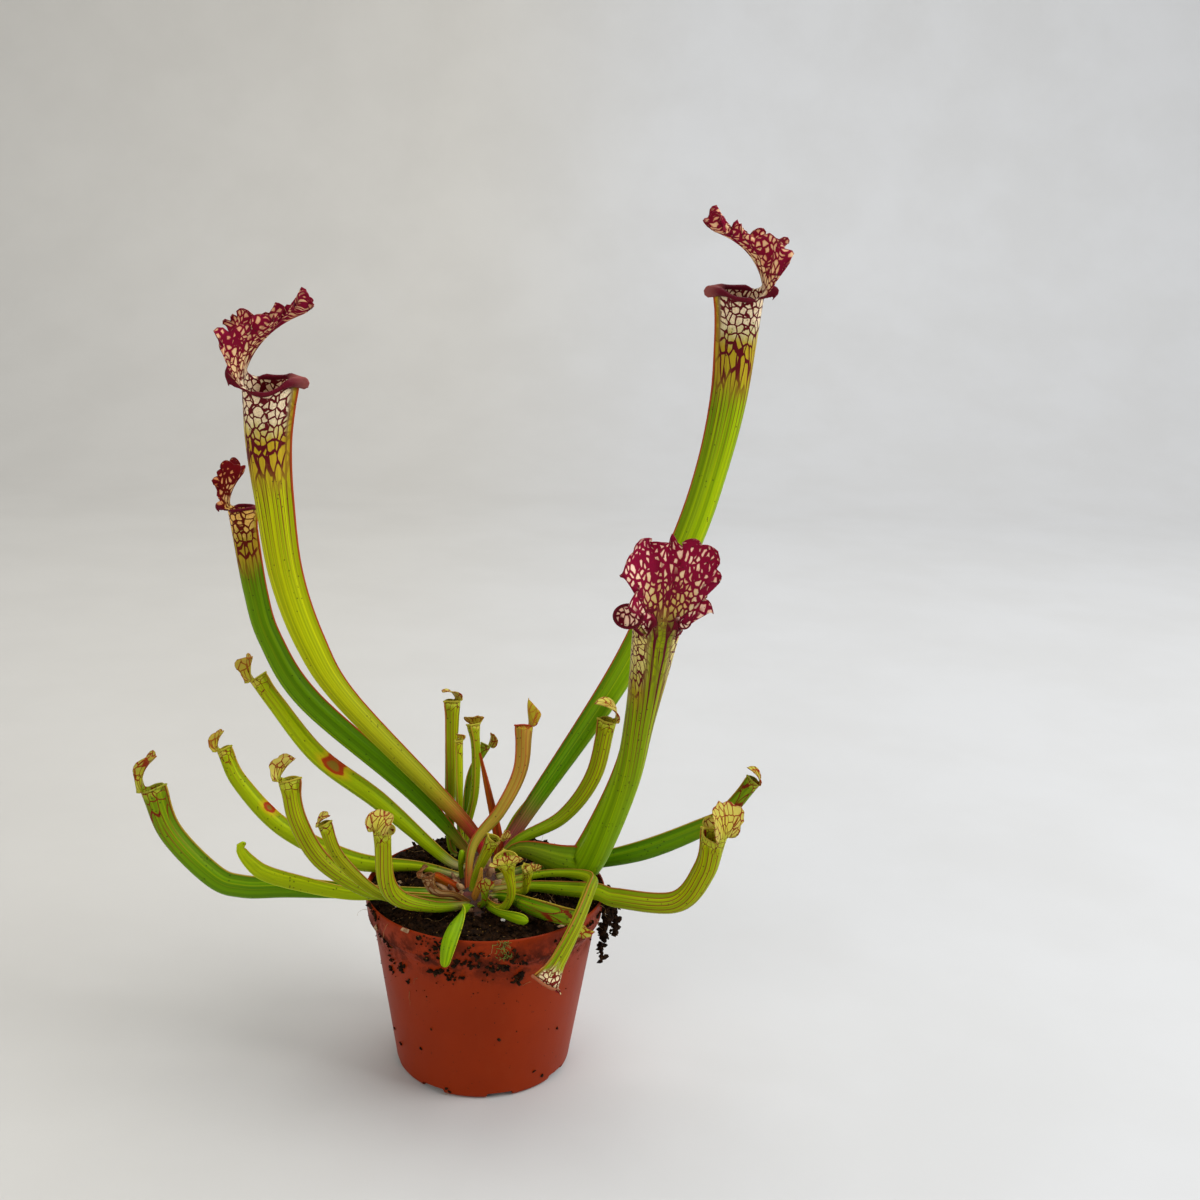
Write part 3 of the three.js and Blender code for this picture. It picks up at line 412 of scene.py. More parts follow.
class Growth:
    """A closed skin that grows ring by ring by extruding its end face.

    Its corners carry values for the materials. flow is the place in the vein pattern. rise holds the
    depth below the mouth, the share of the way up the hood and that along the leaf. marks holds how
    much of the corner is lip and how much is wing's edge, and its share of the way to the front.
    """

    def __init__(self, corners):
        self.bm = bmesh.new()
        self.column = self.bm.verts.layers.int.new("column")
        self.ring = self.bm.verts.layers.int.new("ring")
        vectors = self.bm.verts.layers.float_vector
        self.flow, self.rise, self.marks = (vectors.new(name) for name in ("flow", "rise", "marks"))
        self.count = 0
        self.cap = None
        self.start(corners)

    def start(self, corners):
        """Begins another closed skin in the same mesh."""
        made = bmesh.ops.create_circle(self.bm, cap_ends=True, radius=1.0, segments=corners)
        for i, vert in enumerate(made["verts"]):
            vert[self.column] = i
        self.cap = made["verts"][0].link_faces[0]
        self.first = True

    def put(self, corner_at):
        """Moves the corners of the end face; corner_at(column) gives place, flow, rise and marks."""
        for vert in self.cap.verts:
            vert[self.ring] = self.count
            self.move(vert, *corner_at(vert[self.column]))
        self.count += 1

    def move(self, vert, position, flow, rise, marks):
        vert.co = position
        vert[self.flow], vert[self.rise], vert[self.marks] = flow, rise, marks

    def grow(self, corner_at):
        self.cap = next_ring(self.bm, self.cap, self.first)
        self.first = False
        self.put(corner_at)

    def strip(self, ring, last_column):
        """Faces between a ring and the next, from column 0 to last_column."""
        rings = {ring, ring + 1}
        return [
            face for face in self.bm.faces
            if len(face.verts) == 4 and {v[self.ring] for v in face.verts} == rings
            and all(v[self.column] <= last_column for v in face.verts)
        ]


def add_piece(name, bm, finish, replaces=None, smooth=True):
    """Turns a bmesh in millimetres into a piece that rides on the root body."""
    bmesh.ops.scale(bm, vec=(MM,) * 3, verts=bm.verts)
    bmesh.ops.recalc_face_normals(bm, faces=bm.faces)
    for face in bm.faces:
        face.smooth = smooth
    mesh = bpy.data.meshes.new(name)
    bm.to_mesh(mesh)
    bm.free()
    mesh.materials.append(bpy.data.materials[finish])
    piece = bpy.data.objects.new(name, mesh)
    bpy.context.scene.collection.objects.link(piece)
    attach(piece, "root")
    if replaces:
        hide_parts(replaces)
    return piece


# ---------------------------------------------------------------- leaves


def flow_depth(form, depth, angle):
    """Length along the tube as the vein pattern sees it: veins stretch out below the mouth."""
    reach = lerp(form.back_reach, form.reach, smoothstep(abs(angle), 0.3, 1.1))
    return -reach * math.atan(depth / reach)


def leaf_rows(run, end=1.0):
    count = max(8, round(run.long * end / run.form.step))
    return [end * i / count for i in range(count + 1)]


def tube_corner(run, at, angle, swell=0.0, rise=0.0, wing=1.0, lip=0.0, mouth_half=None):
    """Place and pattern values of one corner of the tube."""
    form = run.form
    depth = (1 - at.u) * run.long
    radius = (mouth_half or at.half) * PATTERN_RADIUS
    past = max(0.0, abs(angle) - (math.pi - WING_SPAN)) / WING_SPAN
    wobble = 1 + 0.035 * noise.noise(Vector((math.cos(angle), math.sin(angle), depth * 0.014)) * 1.3)
    position = skin_point(form, at, angle, swell, rise, wing)
    position = at.centre.lerp(position, wobble)
    deep = flow_depth(form, depth, angle)
    flow = Vector((radius * math.cos(angle), radius * math.sin(angle), deep + rise))
    marks = Vector((lip, past * wing * (1 - lip), abs(angle) / math.pi))
    return position, flow, Vector((depth, 0.0, at.u)), marks


def margin_lobes(run):
    """Where the lobes of a hood's margin start and end over its neck, and how bold each one is."""
    rng = random.Random(sum(map(ord, run.name)))
    widths = [rng.uniform(0.7, 1.35) for _ in range(run.form.lobes)]
    ends = [-1.0]
    for width in widths:
        ends.append(ends[-1] + 2 * width / sum(widths))
    return ends, [rng.uniform(0.7, 1.25) for _ in widths]


def bare_edge(run, phi):
    """The hood's edge at phi without its lobes, across and along its midline."""
    share = 1 - min(abs(phi), 1.0)
    across, along = (catmull([point[k] for point in run.form.margin], share) for k in (0, 1))
    half, length = run.hood.half_width * run.form.hood_wide, run.hood.length * run.form.hood_long
    return Vector((math.copysign(across, phi) * half, along * length))


def hood_edge(run, phi):
    """The bare edge at phi, how far its lobe pushes it out, and that lobe's number, place and bulge."""
    if phi not in run.edge:
        ends, bold = run.lobes
        i = min(max(bisect_left(ends, phi) - 1, 0), len(bold) - 1)
        t = 2 * (phi - ends[i]) / (ends[i + 1] - ends[i]) - 1
        bulge = max(0.0, 1 - t * t) ** 0.5
        way = (bare_edge(run, phi + 0.01) - bare_edge(run, phi - 0.01)).normalized()
        clear = smoothstep(1 - abs(phi), 0.0, 0.3)
        push = Vector((-way.y, way.x)) * (run.form.scallop * bold[i] * (bulge - 0.85) * clear)
        run.edge[phi] = bare_edge(run, phi), push, i, t, bulge
    return run.edge[phi]


def blade(run, at, phi, f):
    """Middle of the hood's blade. phi runs over its neck from -1 to 1, f from the neck to the edge."""
    form, hood = run.form, run.hood
    length, half = hood.length * form.hood_long, hood.half_width * form.hood_wide
    ruffle = hood.ruffle * form.calm
    neck = phi * math.radians(form.neck)
    neck_out = at.half * (1 - form.wing) - form.wall / 2
    neck_wide = at.half * form.flat - form.wall / 2
    bare, push, i, t, bulge = hood_edge(run, phi)
    edge = bare + push * smoothstep(f, 0.4, 0.95)
    bow = lerp(form.bow, 1.3, smoothstep(abs(phi), 0.08, 0.45))
    across = lerp(neck_wide * math.sin(neck), edge.x, f**bow)
    along = edge.y * f + form.spike * math.exp(-((phi / 0.03) ** 2)) * f**9
    if i % 2 and abs(phi) < 0.8:
        across += math.copysign(form.small_spikes * math.exp(-((t / 0.14) ** 2)) * f**9, phi)

    # The midline is an arc that leans over the mouth.
    root = math.radians(hood.root_lean)
    bend = math.radians(hood.tip_lean - hood.root_lean) / length
    angle = root + bend * along
    up = (math.sin(angle) - math.sin(root)) / bend
    forward = (math.cos(root) - math.cos(angle)) / bend

    # The sides fold up from the midline, and the lobes of the margin turn back.
    foot = smoothstep(f, 0, 0.12)
    fold = math.radians(hood.fold) * lerp(0.36, 1.0, smoothstep(along, 0, 0.4 * length)) * foot
    soft = 0.15 * half
    lift = (math.hypot(across, soft) - soft) * math.sin(fold)
    lift += ruffle * (0.45 + 0.55 * (-1) ** i) * bulge**2 * smoothstep(f, 0.35, 1.0)
    lift += 0.35 * ruffle * f * f * math.sin(6.6 * phi + 1.0)
    curve = neck_out * (math.cos(neck) - 1) * (1 - f) ** 2
    rolled = form.roll * smoothstep(abs(phi), 0.5, 1.0) ** 1.5 * foot * (1 - f)
    return place(
        at,
        at.half * form.wing + neck_out + curve + rolled - forward + lift * math.cos(angle),
        across * math.cos(fold) + math.copysign(0.7 * rolled, phi),
        form.lip_height * 0.8 + up + lift * math.sin(angle),
    ), across, along


def hood_middle(run, at, phi, f):
    """The blade with its margin rolled back."""
    form = run.form
    if f <= ROLLED_FROM:
        return blade(run, at, phi, f)
    nearby = 4e-3
    base, across, along = blade(run, at, phi, ROLLED_FROM)
    ahead = base - blade(run, at, phi, ROLLED_FROM - 0.03)[0]
    side = blade(run, at, phi + nearby, ROLLED_FROM)[0] - blade(run, at, phi - nearby, ROLLED_FROM)[0]
    out = blade(run, at, phi, 1.0)
    reach = (out[0] - base).length
    ahead.normalize()
    back = side.cross(ahead).normalized()
    share = (f - ROLLED_FROM) / (1 - ROLLED_FROM)
    turn = share * math.radians(form.curl_turn)
    flat = max(0.0, reach - 1.2 * form.curl) * share
    base = base + ahead * (flat + form.curl * math.sin(turn)) + back * (form.curl * (1 - math.cos(turn)))
    return base, lerp(across, out[1], share), lerp(along, out[2], share)


def fan_flow(across, along, length, cell_long):
    """Pattern coordinates of the hood: cells grow longer along the rays from its neck."""
    start, stretch = 0.3 * length, 0.66
    ray = math.hypot(across, along + start) * stretch
    angle = math.atan2(across, along + start) / stretch
    longer = lerp(cell_long, 1.0, smoothstep(abs(across), 0.0, 0.14 * length))
    return ray * math.sin(angle), (ray * math.cos(angle) - start * stretch) * longer


def hood_corner(run, at, phi, f, thick):
    """Middle, half thickness and pattern values of the hood's blade."""
    form, nearby = run.form, 1e-3
    middle, across, along = hood_middle(run, at, phi, f)
    sideways = hood_middle(run, at, phi + nearby, f)[0] - hood_middle(run, at, phi - nearby, f)[0]
    upwards = middle - hood_middle(run, at, phi, f - nearby)[0]
    angle, radius = phi * math.radians(form.neck), at.half * PATTERN_RADIUS
    fan = fan_flow(across, along, run.hood.length, form.cell_long)
    blend = smoothstep(f, 0, 0.4)
    flow = Vector((
        radius * math.cos(angle), lerp(radius * math.sin(angle), fan[0], blend),
        lerp(along, fan[1], blend) + form.lip_height))
    lip = 0.9 * smoothstep(abs(phi), 0.84, 0.94)
    return (
        middle, sideways.cross(upwards).normalized() * thick, flow,
        Vector((0.0, f, 1.0)), Vector((lip, 0, abs(angle) / math.pi)))


def grow_hood(growth, run, at, first_ring):
    """Hood blade grown row by row out of the strip between two rings of the lip."""
    form = run.form
    run.lobes, run.edge = margin_lobes(run), {}
    strip = growth.strip(first_ring, form.neck_steps)
    for row in range(1, form.hood_rows + 1):
        f = (row / form.hood_rows) ** 0.85
        made = extrude(growth.bm, strip)
        strip = [g for g in made if isinstance(g, bmesh.types.BMFace)]
        thick = lerp(form.hood_thick, form.edge_thick, f) / 2
        places = {}
        for vert in (g for g in made if isinstance(g, bmesh.types.BMVert)):
            column = vert[growth.column]
            if column not in places:
                places[column] = hood_corner(run, at, 2 * column / form.neck_steps - 1, f, thick)
            middle, normal, flow, rise, marks = places[column]
            side = 1 if vert[growth.ring] == first_ring else -1
            growth.move(vert, middle + normal * side, flow, rise, marks)


# Rings of an ear: radius, depth along the way it faces, and how much of it has the lip's colour.
EAR_PROFILE = (
    (0.1, -0.62, 0), (0.45, -0.55, 0), (0.75, -0.36, 0), (0.95, -0.12, 0.3), (1.03, 0.0, 1),
    (1.0, 0.1, 1), (0.9, 0.13, 1), (0.82, 0.06, 1), (0.76, -0.06, 0.3), (0.6, -0.25, 0),
    (0.4, -0.38, 0), (0.2, -0.44, 0), (0.05, -0.46, 0))
EAR_CORNERS = 32


def grow_ear(growth, middle, facing, wide, tall):
    """Round hollow with a thick dark rim, where the lip curls back beside the hood."""
    ahead = Vector(facing).normalized()
    side = Vector((0, 0, 1)).cross(ahead).normalized()
    up = ahead.cross(side)
    growth.start(EAR_CORNERS)
    for i, (out, depth, lip) in enumerate(EAR_PROFILE):
        def corner(column):
            angle = math.tau * column / EAR_CORNERS
            reach = out * (1 + 0.05 * math.sin(2 * angle + 0.7))
            x, y = wide * reach * math.cos(angle), tall * reach * math.sin(angle)
            position = Vector(middle) + side * x + up * y + ahead * (depth * tall)
            return position, Vector((x, y * 0.6, 3.0)), Vector((0, 0.4, 1)), Vector((lip, 0, 0.4))

        growth.grow(corner) if i else growth.put(corner)


def pitcher(run):
    """Tapering stalk, open tube with a rolled lip, and the hood over its back."""
    form = run.form
    angles = column_angles(form)
    growth = Growth(len(angles))
    mouth_half = run.halves[-1]
    mouth = run.at(1.0)
    mouth.half *= 1 + form.flare
    neck = math.radians(form.neck)

    def nose(at, angle, amount):
        front = max(0.0, -math.cos(angle)) * amount
        return at.outward * (-form.nose * front**3) + at.along * (form.nose_rise * front**2)

    def flared(at):
        at.half *= 1 + form.flare * smoothstep((1 - at.u) * run.long, 2.6 * mouth_half, 0.0) ** 1.5
        return at

    def body(at):
        near = smoothstep((1 - at.u) * run.long, 14.0, 0.0)
        flared(at)

        def corner(column):
            angle = angles[column]
            position, *values = tube_corner(run, at, angle, mouth_half=mouth.half)
            return (position + nose(at, angle, near), *values)

        return corner

    def lip(turn, wing):
        """Ring of the lip's roll; turn is the angle round the roll, 0 facing out and 90 up."""

        def corner(column):
            angle = angles[column]
            past = abs(angle) - neck
            lobe = 1 - smoothstep(past, math.radians(20), math.radians(75))
            front = smoothstep(abs(angle), math.radians(120), math.pi) ** 2
            clear = smoothstep(past, 0, math.radians(25))
            roll = form.lip * clear * (1 + 0.25 * lobe + form.nose_roll * front)
            round_ = 0.5 * roll + 0.3
            out = 0.55 * round_ - form.wall / 2 + round_ * math.cos(turn)
            rise = form.lip_height * 0.5 + 0.3 * roll - 0.5 * roll * front + round_ * math.sin(turn)
            inside = turn > 1.5
            level = 1 - (turn - 1.5) / 3 if inside else (turn + 2.1) / 3.4
            out, rise = lerp(-form.wall * inside, out, clear), lerp(form.lip_height * level, rise, clear)
            shown = smoothstep(past, -0.1, 0.12)
            position, *values = tube_corner(
                run, mouth, angle, out, rise, wing, lip=shown, mouth_half=mouth.half)
            return (position + nose(mouth, angle, 1.0), *values)

        return corner

    def hollow(share):
        """Ring of the inner wall at a share of the hollow's depth."""
        at = flared(run.at(1 - share * form.depth / run.long))
        wing = 0.25 * max(0.0, 1 - 12 * share)
        pull = max(0.0, 1 - 4 * share)
        hem = 0.2 if share < HEM_SHARE else 0.0

        def corner(column):
            angle = angles[column]
            position, *values = tube_corner(
                run, at, angle, -form.wall, 0.0, wing, lip=hem, mouth_half=mouth.half)
            return (position + nose(at, angle, pull), *values)

        return corner

    rows = leaf_rows(run)
    growth.put(body(run.at(rows[0])))
    for u in rows[1:]:
        growth.grow(body(run.at(u)))
    hood_ring = growth.count + LIP_TURNS.index(HOOD_TURN)
    for turn in LIP_TURNS:
        growth.grow(lip(math.radians(turn), lerp(1.0, 0.25, smoothstep(turn, 60, 200))))
    for share in HOLLOW_SHARES:
        growth.grow(hollow(share))
    grow_hood(growth, run, mouth, hood_ring)
    for ear in EARS.get(run.name, ()):
        grow_ear(growth, *ear)
    return growth.bm


NO_MOUTH = 200.0  # depth below the mouth that a plain leaf carries, past the reach of the net


def plain_leaf(run):
    """Leaf that closes to a round tip."""
    angles = column_angles(run.form)
    growth = Growth(len(angles))
    tip = 1.2 * run.halves[-1] / run.long
    widest = max(run.halves)
    rows = leaf_rows(run, 1 - tip) + [1 - tip + tip * math.sin(k * math.pi / 12) for k in range(1, 6)]
    for i, u in enumerate(rows):
        at = run.at(u)
        past = max(0.0, (u - (1 - tip)) / tip)
        at.half *= math.sqrt(max(0.01, 1 - past * past))

        def corner(column):
            position, flow, _, marks = tube_corner(run, at, angles[column], mouth_half=widest)
            return position, flow, Vector((NO_MOUTH, 0.0, at.u)), marks

        growth.grow(corner) if i else growth.put(corner)
    return growth.bm


# ---------------------------------------------------------------- crumbs, fibres and other small things


GRAIN_SHAPES = 6
BATCH = 60  # grains that are turned and placed in one small mesh before they join the piece


def crumb_shapes(seed, detail=1, flat=1.0):
    """A few irregular grains of unit size, as meshes to copy."""
    rng = random.Random(seed)
    shapes = []
    for _ in range(GRAIN_SHAPES):
        bm = bmesh.new()
        bmesh.ops.create_icosphere(bm, subdivisions=detail, radius=1.0)
        for vert in bm.verts:
            vert.co *= rng.uniform(0.4, 1.35)
        stretch = (rng.uniform(0.7, 1.5), rng.uniform(0.6, 1.1), flat * rng.uniform(0.6, 1.1))
        bmesh.ops.scale(bm, vec=stretch, verts=bm.verts)
        mesh = bpy.data.meshes.new("grain")
        bm.to_mesh(mesh)
        bm.free()
        shapes.append(mesh)
    return shapes


def scatter(name, shapes, places, material, seed):
    """One piece made of many grains, turned at random. places holds (position, size) pairs."""
    rng = random.Random(seed)
    total = bmesh.new()
    for start in range(0, len(places), BATCH):
        batch = bmesh.new()
        done = 0
        for position, size in places[start : start + BATCH]:
            batch.from_mesh(rng.choice(shapes))
            batch.verts.ensure_lookup_table()
            fresh = batch.verts[done:]
            done = len(batch.verts)
            angle = rng.uniform(0, math.tau)
            turn = Matrix.Rotation(angle, 4, Vector((rng.gauss(0, 1), rng.gauss(0, 1), 1)))
            matrix = Matrix.Translation(position) @ turn @ Matrix.Scale(size, 4)
            bmesh.ops.transform(batch, matrix=matrix, verts=fresh)
        join_into(total, batch)
    add_piece(name, total, material, smooth=False)


def join_into(total, bm):
    """Adds a finished bmesh to another and frees it."""
    mesh = bpy.data.meshes.new("part")
    bm.to_mesh(mesh)
    bm.free()
    total.from_mesh(mesh)
    bpy.data.meshes.remove(mesh)


def add_thread(bm, points, radius, sides=4):
    """Thin tapering thread grown along points into bm."""
    growth = bmesh.new()
    bmesh.ops.create_circle(growth, cap_ends=True, radius=radius, segments=sides)
    growth.faces.ensure_lookup_table()
    cap = growth.faces[0]
    last = len(points) - 1
    for i, point in enumerate(points):
        ahead = (points[min(i + 1, last)] - points[max(i - 1, 0)]).normalized()
        turn = ahead.to_track_quat("Z", "Y").to_matrix()
        if i:
            cap = next_ring(growth, cap, i == 1)
        width = radius * (1 - 0.7 * i / last)
        for k, vert in enumerate(cap.verts):
            angle = math.tau * k / sides
            vert.co = point + turn @ Vector((width * math.cos(angle), width * math.sin(angle), 0))
    join_into(bm, growth)


def wander(rng, start, heading, length, steps, bend, sag=0.0):
    """Points of a wandering thread."""
    points, here, way = [start.copy()], start.copy(), heading.normalized()
    for _ in range(steps):
        way = (way + Vector((rng.gauss(0, bend), rng.gauss(0, bend), rng.gauss(0, bend) - sag))).normalized()
        here = here + way * (length / steps)
        points.append(here.copy())
    return points


def soil_height(x, y):
    share = min(1.0, math.hypot(x, y) / SOIL_RADIUS)
    mound = SOIL_MOUND * (1 - share * share)
    back = SOIL_BACK * smoothstep(y, -5, 45)
    lumps = math.sin(0.31 * x + 1.3) * math.cos(0.27 * y + 0.4) + 0.6 * math.sin(0.62 * x - 0.5 * y)
    return SOIL_EDGE + mound + back + SOIL_LUMP * lumps * min(1.0, 3 * (1 - share))


def soil_top(x, y):
    """Height of the crumbly surface that is seen."""
    spot = Vector((x, y, 0))
    coarse = noise.fractal(spot * 0.22, 1.0, 2.0, 3)
    fine = noise.fractal(spot * 0.9 + Vector((7, 3, 1)), 0.8, 2.0, 3)
    return soil_height(x, y) + 1.5 * coarse + 0.8 * fine


def pot_radius(height):
    if height >= COLLAR_FOOT[1]:
        return lerp(COLLAR_FOOT[0], RIM_RADIUS, (height - COLLAR_FOOT[1]) / (POT_HEIGHT - COLLAR_FOOT[1]))
    if height >= WALL_TOP[1]:
        return lerp(WALL_TOP[0], COLLAR_FOOT[0], (height - WALL_TOP[1]) / (COLLAR_FOOT[1] - WALL_TOP[1]))
    return lerp(WALL_FOOT, WALL_TOP[0], (height - BASE_ROUND) / (WALL_TOP[1] - BASE_ROUND))


def on_pot(angle, height, out=0.0):
    """Point on the pot's outer face; angle 0 faces the front view and turns towards +X."""
    radius = pot_radius(height) + out
    return Vector((radius * math.sin(angle), -radius * math.cos(angle), height))


# ---------------------------------------------------------------- material nodes


def node(tree, kind, inputs=None, **settings):
    made = tree.nodes.new(kind)
    for key, value in settings.items():
        setattr(made, key, value)
    for key, value in (inputs or {}).items():
        if isinstance(value, bpy.types.NodeSocket):
            tree.links.new(value, made.inputs[key])
        else:
            made.inputs[key].default_value = value
    return made


def maths(tree, operation, a, b=0.0, clamp=False):
    return node(tree, "ShaderNodeMath", {0: a, 1: b}, operation=operation, use_clamp=clamp).outputs[0]


def plus(tree, a, b, clamp=False):
    return maths(tree, "ADD", a, b, clamp)


def minus(tree, a, b, clamp=False):
    return maths(tree, "SUBTRACT", a, b, clamp)


def times(tree, first, *others):
    for other in others:
        first = maths(tree, "MULTIPLY", first, other)
    return first


def over(tree, a, b):
    return maths(tree, "DIVIDE", a, b)


def ramp(tree, value, low, high, out_low=0.0, out_high=1.0):
    """Smooth step of value from low to high, put out between two numbers."""
    return node(
        tree, "ShaderNodeMapRange",
        {"Value": value, "From Min": low, "From Max": high, "To Min": out_low, "To Max": out_high},
        interpolation_type="SMOOTHSTEP",
    ).outputs["Result"]


def fade(tree, value, low, high, strength=1.0):
    """Smooth step down, from strength at low to nothing at high."""
    return ramp(tree, value, low, high, strength, 0.0)


def mix(tree, factor, a, b):
    made = node(tree, "ShaderNodeMix", {"Factor": factor}, data_type="RGBA")
    for socket, value in ((made.inputs[6], a), (made.inputs[7], b)):
        if isinstance(value, bpy.types.NodeSocket):
            tree.links.new(value, socket)
        else:
            socket.default_value = (*value[:3], 1)
    return made.outputs[2]


def attribute(tree, name):
    return node(tree, "ShaderNodeAttribute", attribute_name=name).outputs["Vector"]


def parts(tree, vector):
    return node(tree, "ShaderNodeSeparateXYZ", {0: vector}).outputs


def object_mm(tree):
    """Object coordinates in millimetres."""
    coordinates = node(tree, "ShaderNodeTexCoord").outputs["Object"]
    return node(tree, "ShaderNodeVectorMath", {0: coordinates, 3: 1000.0}, operation="SCALE").outputs[0]


def noise_value(tree, vector, scale, detail=3.0, rough=0.55):
    return node(
        tree, "ShaderNodeTexNoise",
        {"Vector": vector, "Scale": scale, "Detail": detail, "Roughness": rough},
    ).outputs["Fac"]


def swing(tree, value, width):
    """A noise value as a push to either side of 0."""
    return times(tree, minus(tree, value, 0.5), width)


def stretched(tree, vector, scale):
    return node(tree, "ShaderNodeVectorMath", {0: vector, 1: scale}, operation="MULTIPLY").outputs[0]


def cells(tree, vector, scale, feature="DISTANCE_TO_EDGE", randomness=0.9):
    return node(
        tree, "ShaderNodeTexVoronoi", {"Vector": vector, "Scale": scale, "Randomness": randomness},
        feature=feature,
    ).outputs


def flecks(tree, vector, scale, share, near, far):
    """Round flecks in a share of the cells, from solid at near to nothing at far from their middle."""
    spots = cells(tree, vector, scale, "F1", 1.0)
    chosen = maths(tree, "LESS_THAN", parts(tree, spots["Color"])[0], share)
    return times(tree, chosen, fade(tree, spots["Distance"], near, far))


class Group:
    """A shader node group with named inputs and outputs."""

    def __init__(self, name, inputs, outputs):
        self.tree = bpy.data.node_groups.new(name, "ShaderNodeTree")
        kinds = {"c": "NodeSocketColor", "f": "NodeSocketFloat"}
        for label, (kind, value) in inputs.items():
            socket = self.tree.interface.new_socket(label, in_out="INPUT", socket_type=kinds[kind])
            socket.default_value = (*rgb(value), 1.0) if kind == "c" else value
        for label, kind in outputs.items():
            self.tree.interface.new_socket(label, in_out="OUTPUT", socket_type=kinds[kind])
        self.given = self.tree.nodes.new("NodeGroupInput").outputs
        self.out = self.tree.nodes.new("NodeGroupOutput").inputs

    def put_out(self, label, socket):
        self.tree.links.new(socket, self.out[label])


def speckle_group():
    """Sparse dark dots, on Object coordinates."""
    group = Group("speckle", {"Dots": ("f", 0.6), "Density": ("f", 0.35)}, {"Dots": "f"})
    tree, given = group.tree, group.given
    here = object_mm(tree)
    crowd = ramp(tree, noise_value(tree, here, 0.05, 2), 0.42, 0.62, 0.15, 1.0)
    share = times(tree, given["Density"], crowd)
    group.put_out("Dots", flecks(tree, here, given["Dots"], share, 0.14, 0.34))


# Inputs of the pitcher skin. Cells, reaches and widths of nets are in millimetres of the pattern;
# the reaches of the root and of the low part are shares of the leaf's length.
SKIN_INPUTS = {
    "Root": ("c", "a8202c"), "Low": ("c", "86a622"), "High": ("c", "b8c41e"),
    "Window": ("c", "f2dcb4"), "Hood window": ("c", "e8c890"), "Vein": ("c", "5c0e18"),
    "Margin": ("c", "7e0a2c"), "Lip": ("c", "5c0e1e"), "Nose": ("c", "8c4c48"),
    "Edge": ("c", "a8481e"), "Midrib": ("c", "d8c08c"),
    "Cell": ("f", 3.5), "Net": ("f", 0.075), "Hood net": ("f", 0.09), "Hood cell": ("f", 1.75),
    "Window reach": ("f", 15.0), "Net reach": ("f", 46.0), "Line reach": ("f", 88.0),
    "Root reach": ("f", 0.07), "Low reach": ("f", 0.5), "Line strength": ("f", 1.0),
    "Back": ("f", 0.0), "Lines": ("f", 12.0), "Line width": ("f", 0.25), "Blush": ("f", 0.5),
    "Dots": ("f", 0.3), "Dry": ("f", 0.0),
}


def skin_pattern(tree):
    """Values that the leaf's mesh carries, and the place in the vein pattern with a little sway."""
    flow = attribute(tree, "flow")
    depth, hood, share = parts(tree, attribute(tree, "rise"))
    lip, edge, front = parts(tree, attribute(tree, "marks"))
    sway = node(tree, "ShaderNodeTexNoise", {"Vector": flow, "Scale": 0.22, "Detail": 2.0})
    centred = node(
        tree, "ShaderNodeVectorMath", {0: sway.outputs["Color"], 1: (0.5, 0.5, 0.5)}, operation="SUBTRACT")
    pushed = node(tree, "ShaderNodeVectorMath", {0: centred.outputs[0], 3: 2.0}, operation="SCALE")
    here = node(tree, "ShaderNodeVectorMath", {0: flow, 1: pushed.outputs[0]}, operation="ADD")
    return SimpleNamespace(
        flow=flow, here=here.outputs[0], depth=depth, hood=hood, share=share, lip=lip, edge=edge,
        front=front, on_hood=ramp(tree, hood, 0.02, 0.4))


def skin_reaches(tree, given, skin):
    """How far down the tube the windows, the net and the long lines reach."""
    skin.wavy = plus(tree, skin.depth, swing(tree, noise_value(tree, skin.here, 0.3), 16.0))
    behind = times(tree, fade(tree, skin.front, 0.1, 0.24), given["Back"])
    skin.away = minus(tree, 1.0, behind)
    skin.sides = times(tree, skin.away, fade(tree, skin.front, 0.88, 0.95))
    window = fade(tree, over(tree, skin.wavy, given["Window reach"]), 0.5, 1.7)
    skin.window = times(tree, window, skin.sides)
    skin.near_net = fade(tree, over(tree, skin.wavy, given["Net reach"]), 0.75, 1.25)
    skin.lines = fade(tree, over(tree, skin.wavy, given["Line reach"]), 0.5, 1.1)


def distance_from(tree, beat):
    """How far a running value is from the half, 0 at it and 1 at the whole numbers."""
    off = maths(tree, "ABSOLUTE", minus(tree, maths(tree, "FRACT", beat), 0.5))
    return times(tree, off, 2.0)


